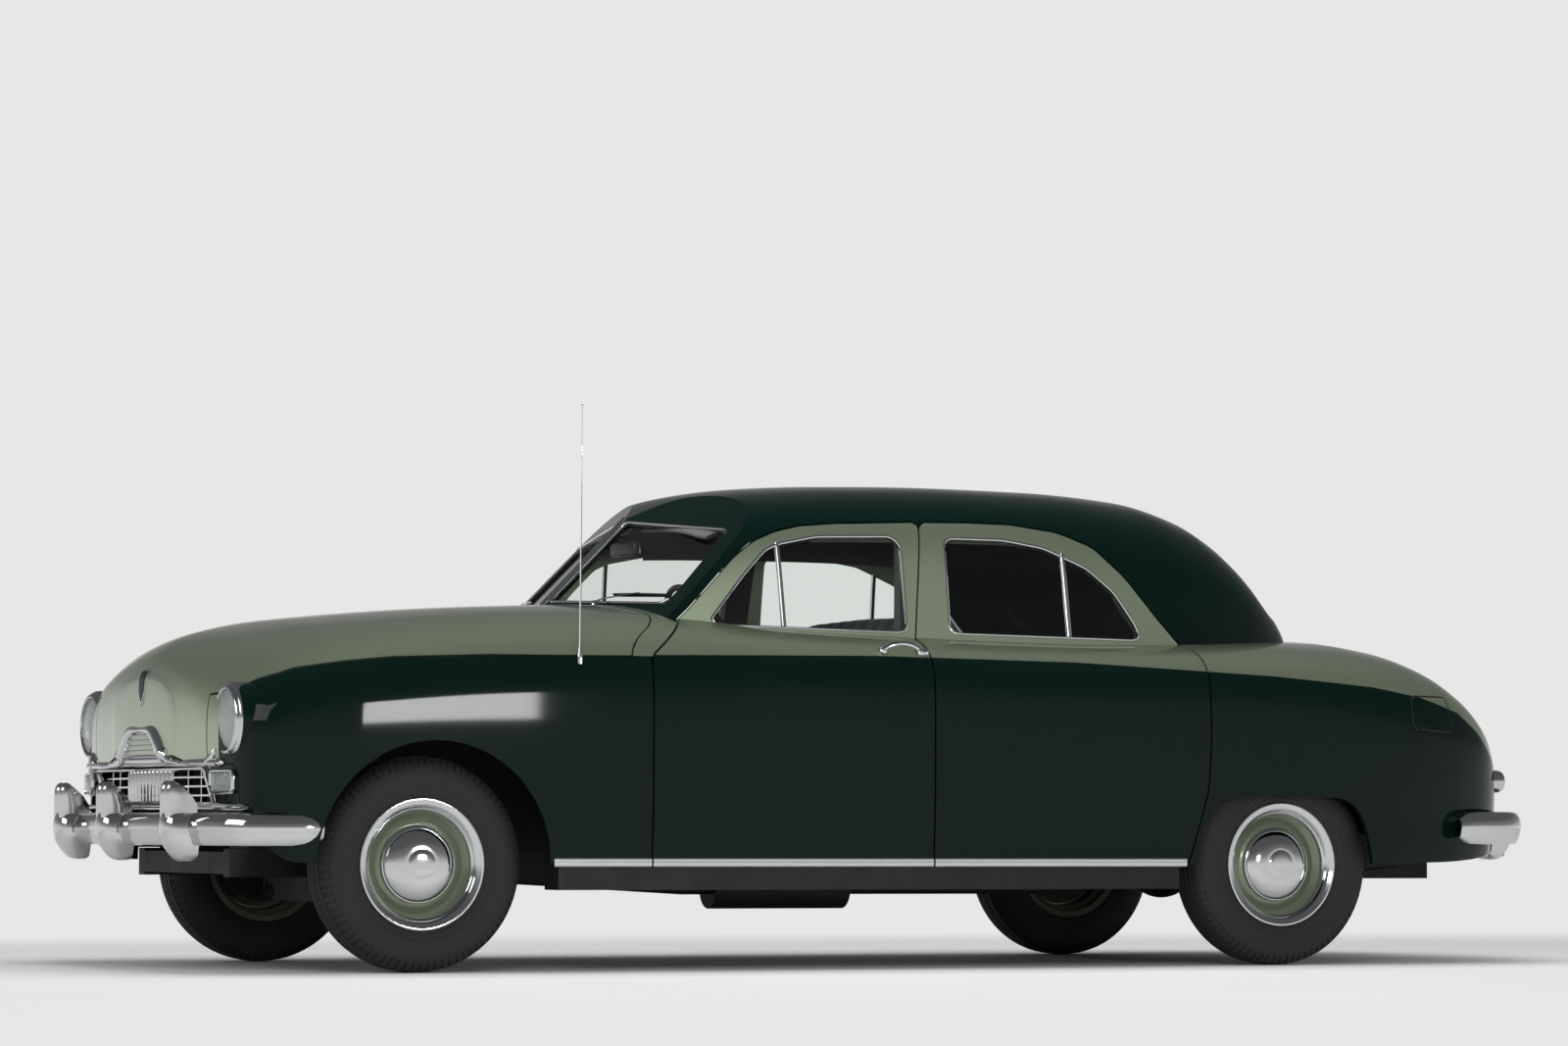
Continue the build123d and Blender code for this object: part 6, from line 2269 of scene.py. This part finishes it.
def set_stage(settings):
    """The floor, the room's light, the lamps and the camera."""
    fresh()
    bpy.ops.mesh.primitive_plane_add(size=1, location=(0, 0, 0))
    floor = bpy.context.object
    floor.scale = (FLOOR_SIZE, FLOOR_SIZE, 1)
    bpy.ops.object.transform_apply(location=True, rotation=True, scale=True)
    floor.name = "studio_floor"
    floor.data.materials.append(backdrop(settings))
    scene = bpy.context.scene
    light_room(scene)
    # name, place, aimed at, size along, size across, watts, mirrored in the paint and chrome
    lamps = [
        ("overhead", (-0.2, 0.3, 4.6), (-0.2, 0.0, 0.0), 6.5, 3.0, 260.0, False),
        ("camera_side", (3.6, 6.5, 3.4), (-0.3, 0.0, 0.7), 3.2, 2.2, 150.0, False),
        ("nose_side", (6.8, 1.4, 2.9), (1.5, 0.0, 0.8), 4.2, 2.0, 90.0, True),
        ("tail_side", (-6.0, 3.5, 3.2), (-1.5, 0.0, 0.9), 2.6, 2.0, 60.0, False),
        ("strip", (-0.3, 6.3, 1.25), (1.7, 0.9, 0.85), 0.9, 0.55, 60.0, True),
    ]
    for name, spot, aim, wide, deep, watts, mirrored in lamps:
        bpy.ops.object.light_add(type="AREA", location=spot)
        lamp = bpy.context.object
        lamp.name = name
        lamp.data.shape = "RECTANGLE"
        lamp.data.size = wide
        lamp.data.size_y = deep
        lamp.data.energy = watts * settings.lamp_power
        lamp.visible_glossy = mirrored
        lamp.rotation_euler = (Vector(aim) - Vector(spot)).to_track_quat("-Z", "Y").to_euler()
    camera_at_the_photo(scene)
    scene.view_settings.view_transform = "Standard"


CAMERA_SPOT = (6.0448 + AXLE, 16.3409, 0.4644)
CAMERA_YAW, CAMERA_PITCH, CAMERA_ROLL, CAMERA_LENS = 25.207, 3.329, 0.184, 120.09


def camera_at_the_photo(scene):
    yaw, pitch = math.radians(CAMERA_YAW), math.radians(CAMERA_PITCH)
    ahead = Vector((-math.sin(yaw) * math.cos(pitch), -math.cos(yaw) * math.cos(pitch), math.sin(pitch)))
    turn = ahead.to_track_quat("-Z", "Y")
    roll = Matrix.Rotation(math.radians(CAMERA_ROLL), 4, "Z")
    data = bpy.data.cameras.new("photo_camera")
    data.sensor_width = 36.0
    data.lens = CAMERA_LENS
    data.clip_end = 200.0
    data.dof.use_dof = False
    camera = bpy.data.objects.new("photo_camera", data)
    camera.matrix_world = Matrix.Translation(CAMERA_SPOT) @ turn.to_matrix().to_4x4() @ roll
    scene.collection.objects.link(camera)
    scene.camera = camera


# One operator for each piece or group of like pieces


class BodyPanels(bpy.types.Operator):
    """Fenders, hood, cowl, doors, quarters, deck, trunk lid and roof"""
    bl_idname = "sedan.body_panels"
    bl_label = "Body panels"

    def execute(self, context):
        fenders()
        hood_panel()
        cowl_panel()
        nose_panel()
        door_panels()
        quarters()
        deck_and_lid()
        screen_frame(roof_panel())
        return {"FINISHED"}


class Glazing(bpy.types.Operator):
    """Door windows, the two windscreen panes and the rear window"""
    bl_idname = "sedan.glazing"
    bl_label = "Glazing"

    def execute(self, context):
        glazing()
        return {"FINISHED"}


class Tyres(bpy.types.Operator):
    """Four ribbed tyres with cut shoulders"""
    bl_idname = "sedan.tyres"
    bl_label = "Tyres"

    def execute(self, context):
        tyres(context.scene.sedan.tread_depth)
        return {"FINISHED"}


class Wheels(bpy.types.Operator):
    """Painted wheels with chrome trim rings and domed caps"""
    bl_idname = "sedan.wheels"
    bl_label = "Wheels"

    def execute(self, context):
        wheels()
        return {"FINISHED"}


class SideTrim(bpy.types.Operator):
    """Window lips and bars, sill strips and door handles"""
    bl_idname = "sedan.side_trim"
    bl_label = "Side trim"

    def execute(self, context):
        window_trim(context.scene.sedan)
        sill_strips()
        door_handles()
        return {"FINISHED"}


class Nose(bpy.types.Operator):
    """Crown, bare shield, grille, mouldings and the lamps in front"""
    bl_idname = "sedan.nose"
    bl_label = "Nose trim and lamps"

    def execute(self, context):
        crown()
        badge()
        nose_mouldings()
        grille()
        headlamps()
        parking_lamps()
        return {"FINISHED"}


class Bumpers(bpy.types.Operator):
    """Both bumpers with guards, the tail lamps and the antenna"""
    bl_idname = "sedan.bumpers"
    bl_label = "Bumpers, tail lamps, antenna"

    def execute(self, context):
        bumpers()
        tail_lamps()
        antenna_mast()
        fuel_door_seam()
        return {"FINISHED"}


class WindscreenTrim(bpy.types.Operator):
    """Lips, centre bar and seals of the windscreen, and the wipers"""
    bl_idname = "sedan.windscreen_trim"
    bl_label = "Windscreen trim and wipers"

    def execute(self, context):
        screen_trim()
        wipers()
        return {"FINISHED"}


class Cabin(bpy.types.Operator):
    """Headliner, door posts, door cards, dashboard fittings, mirror and visors"""
    bl_idname = "sedan.cabin"
    bl_label = "Cabin trim"

    def execute(self, context):
        headliner()
        door_cards()
        dash_fittings()
        mirror_and_visors()
        return {"FINISHED"}


class Seats(bpy.types.Operator):
    """Padded bench seats in front and behind"""
    bl_idname = "sedan.seats"
    bl_label = "Bench seats"

    def execute(self, context):
        seats()
        return {"FINISHED"}


class SteeringWheel(bpy.types.Operator):
    """Steering wheel with its horn ring"""
    bl_idname = "sedan.steering_wheel"
    bl_label = "Steering wheel"

    def execute(self, context):
        steering_wheel()
        return {"FINISHED"}


class Stage(bpy.types.Operator):
    """Floor, backdrop, lamps and the camera"""
    bl_idname = "sedan.stage"
    bl_label = "Stage"

    def execute(self, context):
        set_stage(context.scene.sedan)
        return {"FINISHED"}


STEPS = [
    BodyPanels, Glazing, Tyres, Wheels, SideTrim, Nose, Bumpers, WindscreenTrim, Cabin, Seats,
    SteeringWheel, Stage,
]


class SedanPanel(bpy.types.Panel):
    """Lists the steps in the 3D view's sidebar"""
    bl_idname = "VIEW3D_PT_sedan"
    bl_label = "Sedan"
    bl_space_type = "VIEW_3D"
    bl_region_type = "UI"
    bl_category = "Sedan"

    def draw(self, context):
        column = self.layout.column()
        for name in SedanSettings.__annotations__:
            column.prop(context.scene.sedan, name)
        for step in STEPS:
            column.operator(step.bl_idname)


CLASSES = [SedanSettings, *STEPS, SedanPanel]


def register():
    for kind in CLASSES:
        bpy.utils.register_class(kind)
    bpy.types.Scene.sedan = bpy.props.PointerProperty(type=SedanSettings)


def unregister():
    del bpy.types.Scene.sedan
    for kind in reversed(CLASSES):
        bpy.utils.unregister_class(kind)


def main():
    register()
    mix_finishes(bpy.context.scene.sedan)
    finish_cad_nodes()
    for step in STEPS:
        area, name = step.bl_idname.split(".")
        getattr(getattr(bpy.ops, area), name)()


if __name__ == "__main__":
    main()
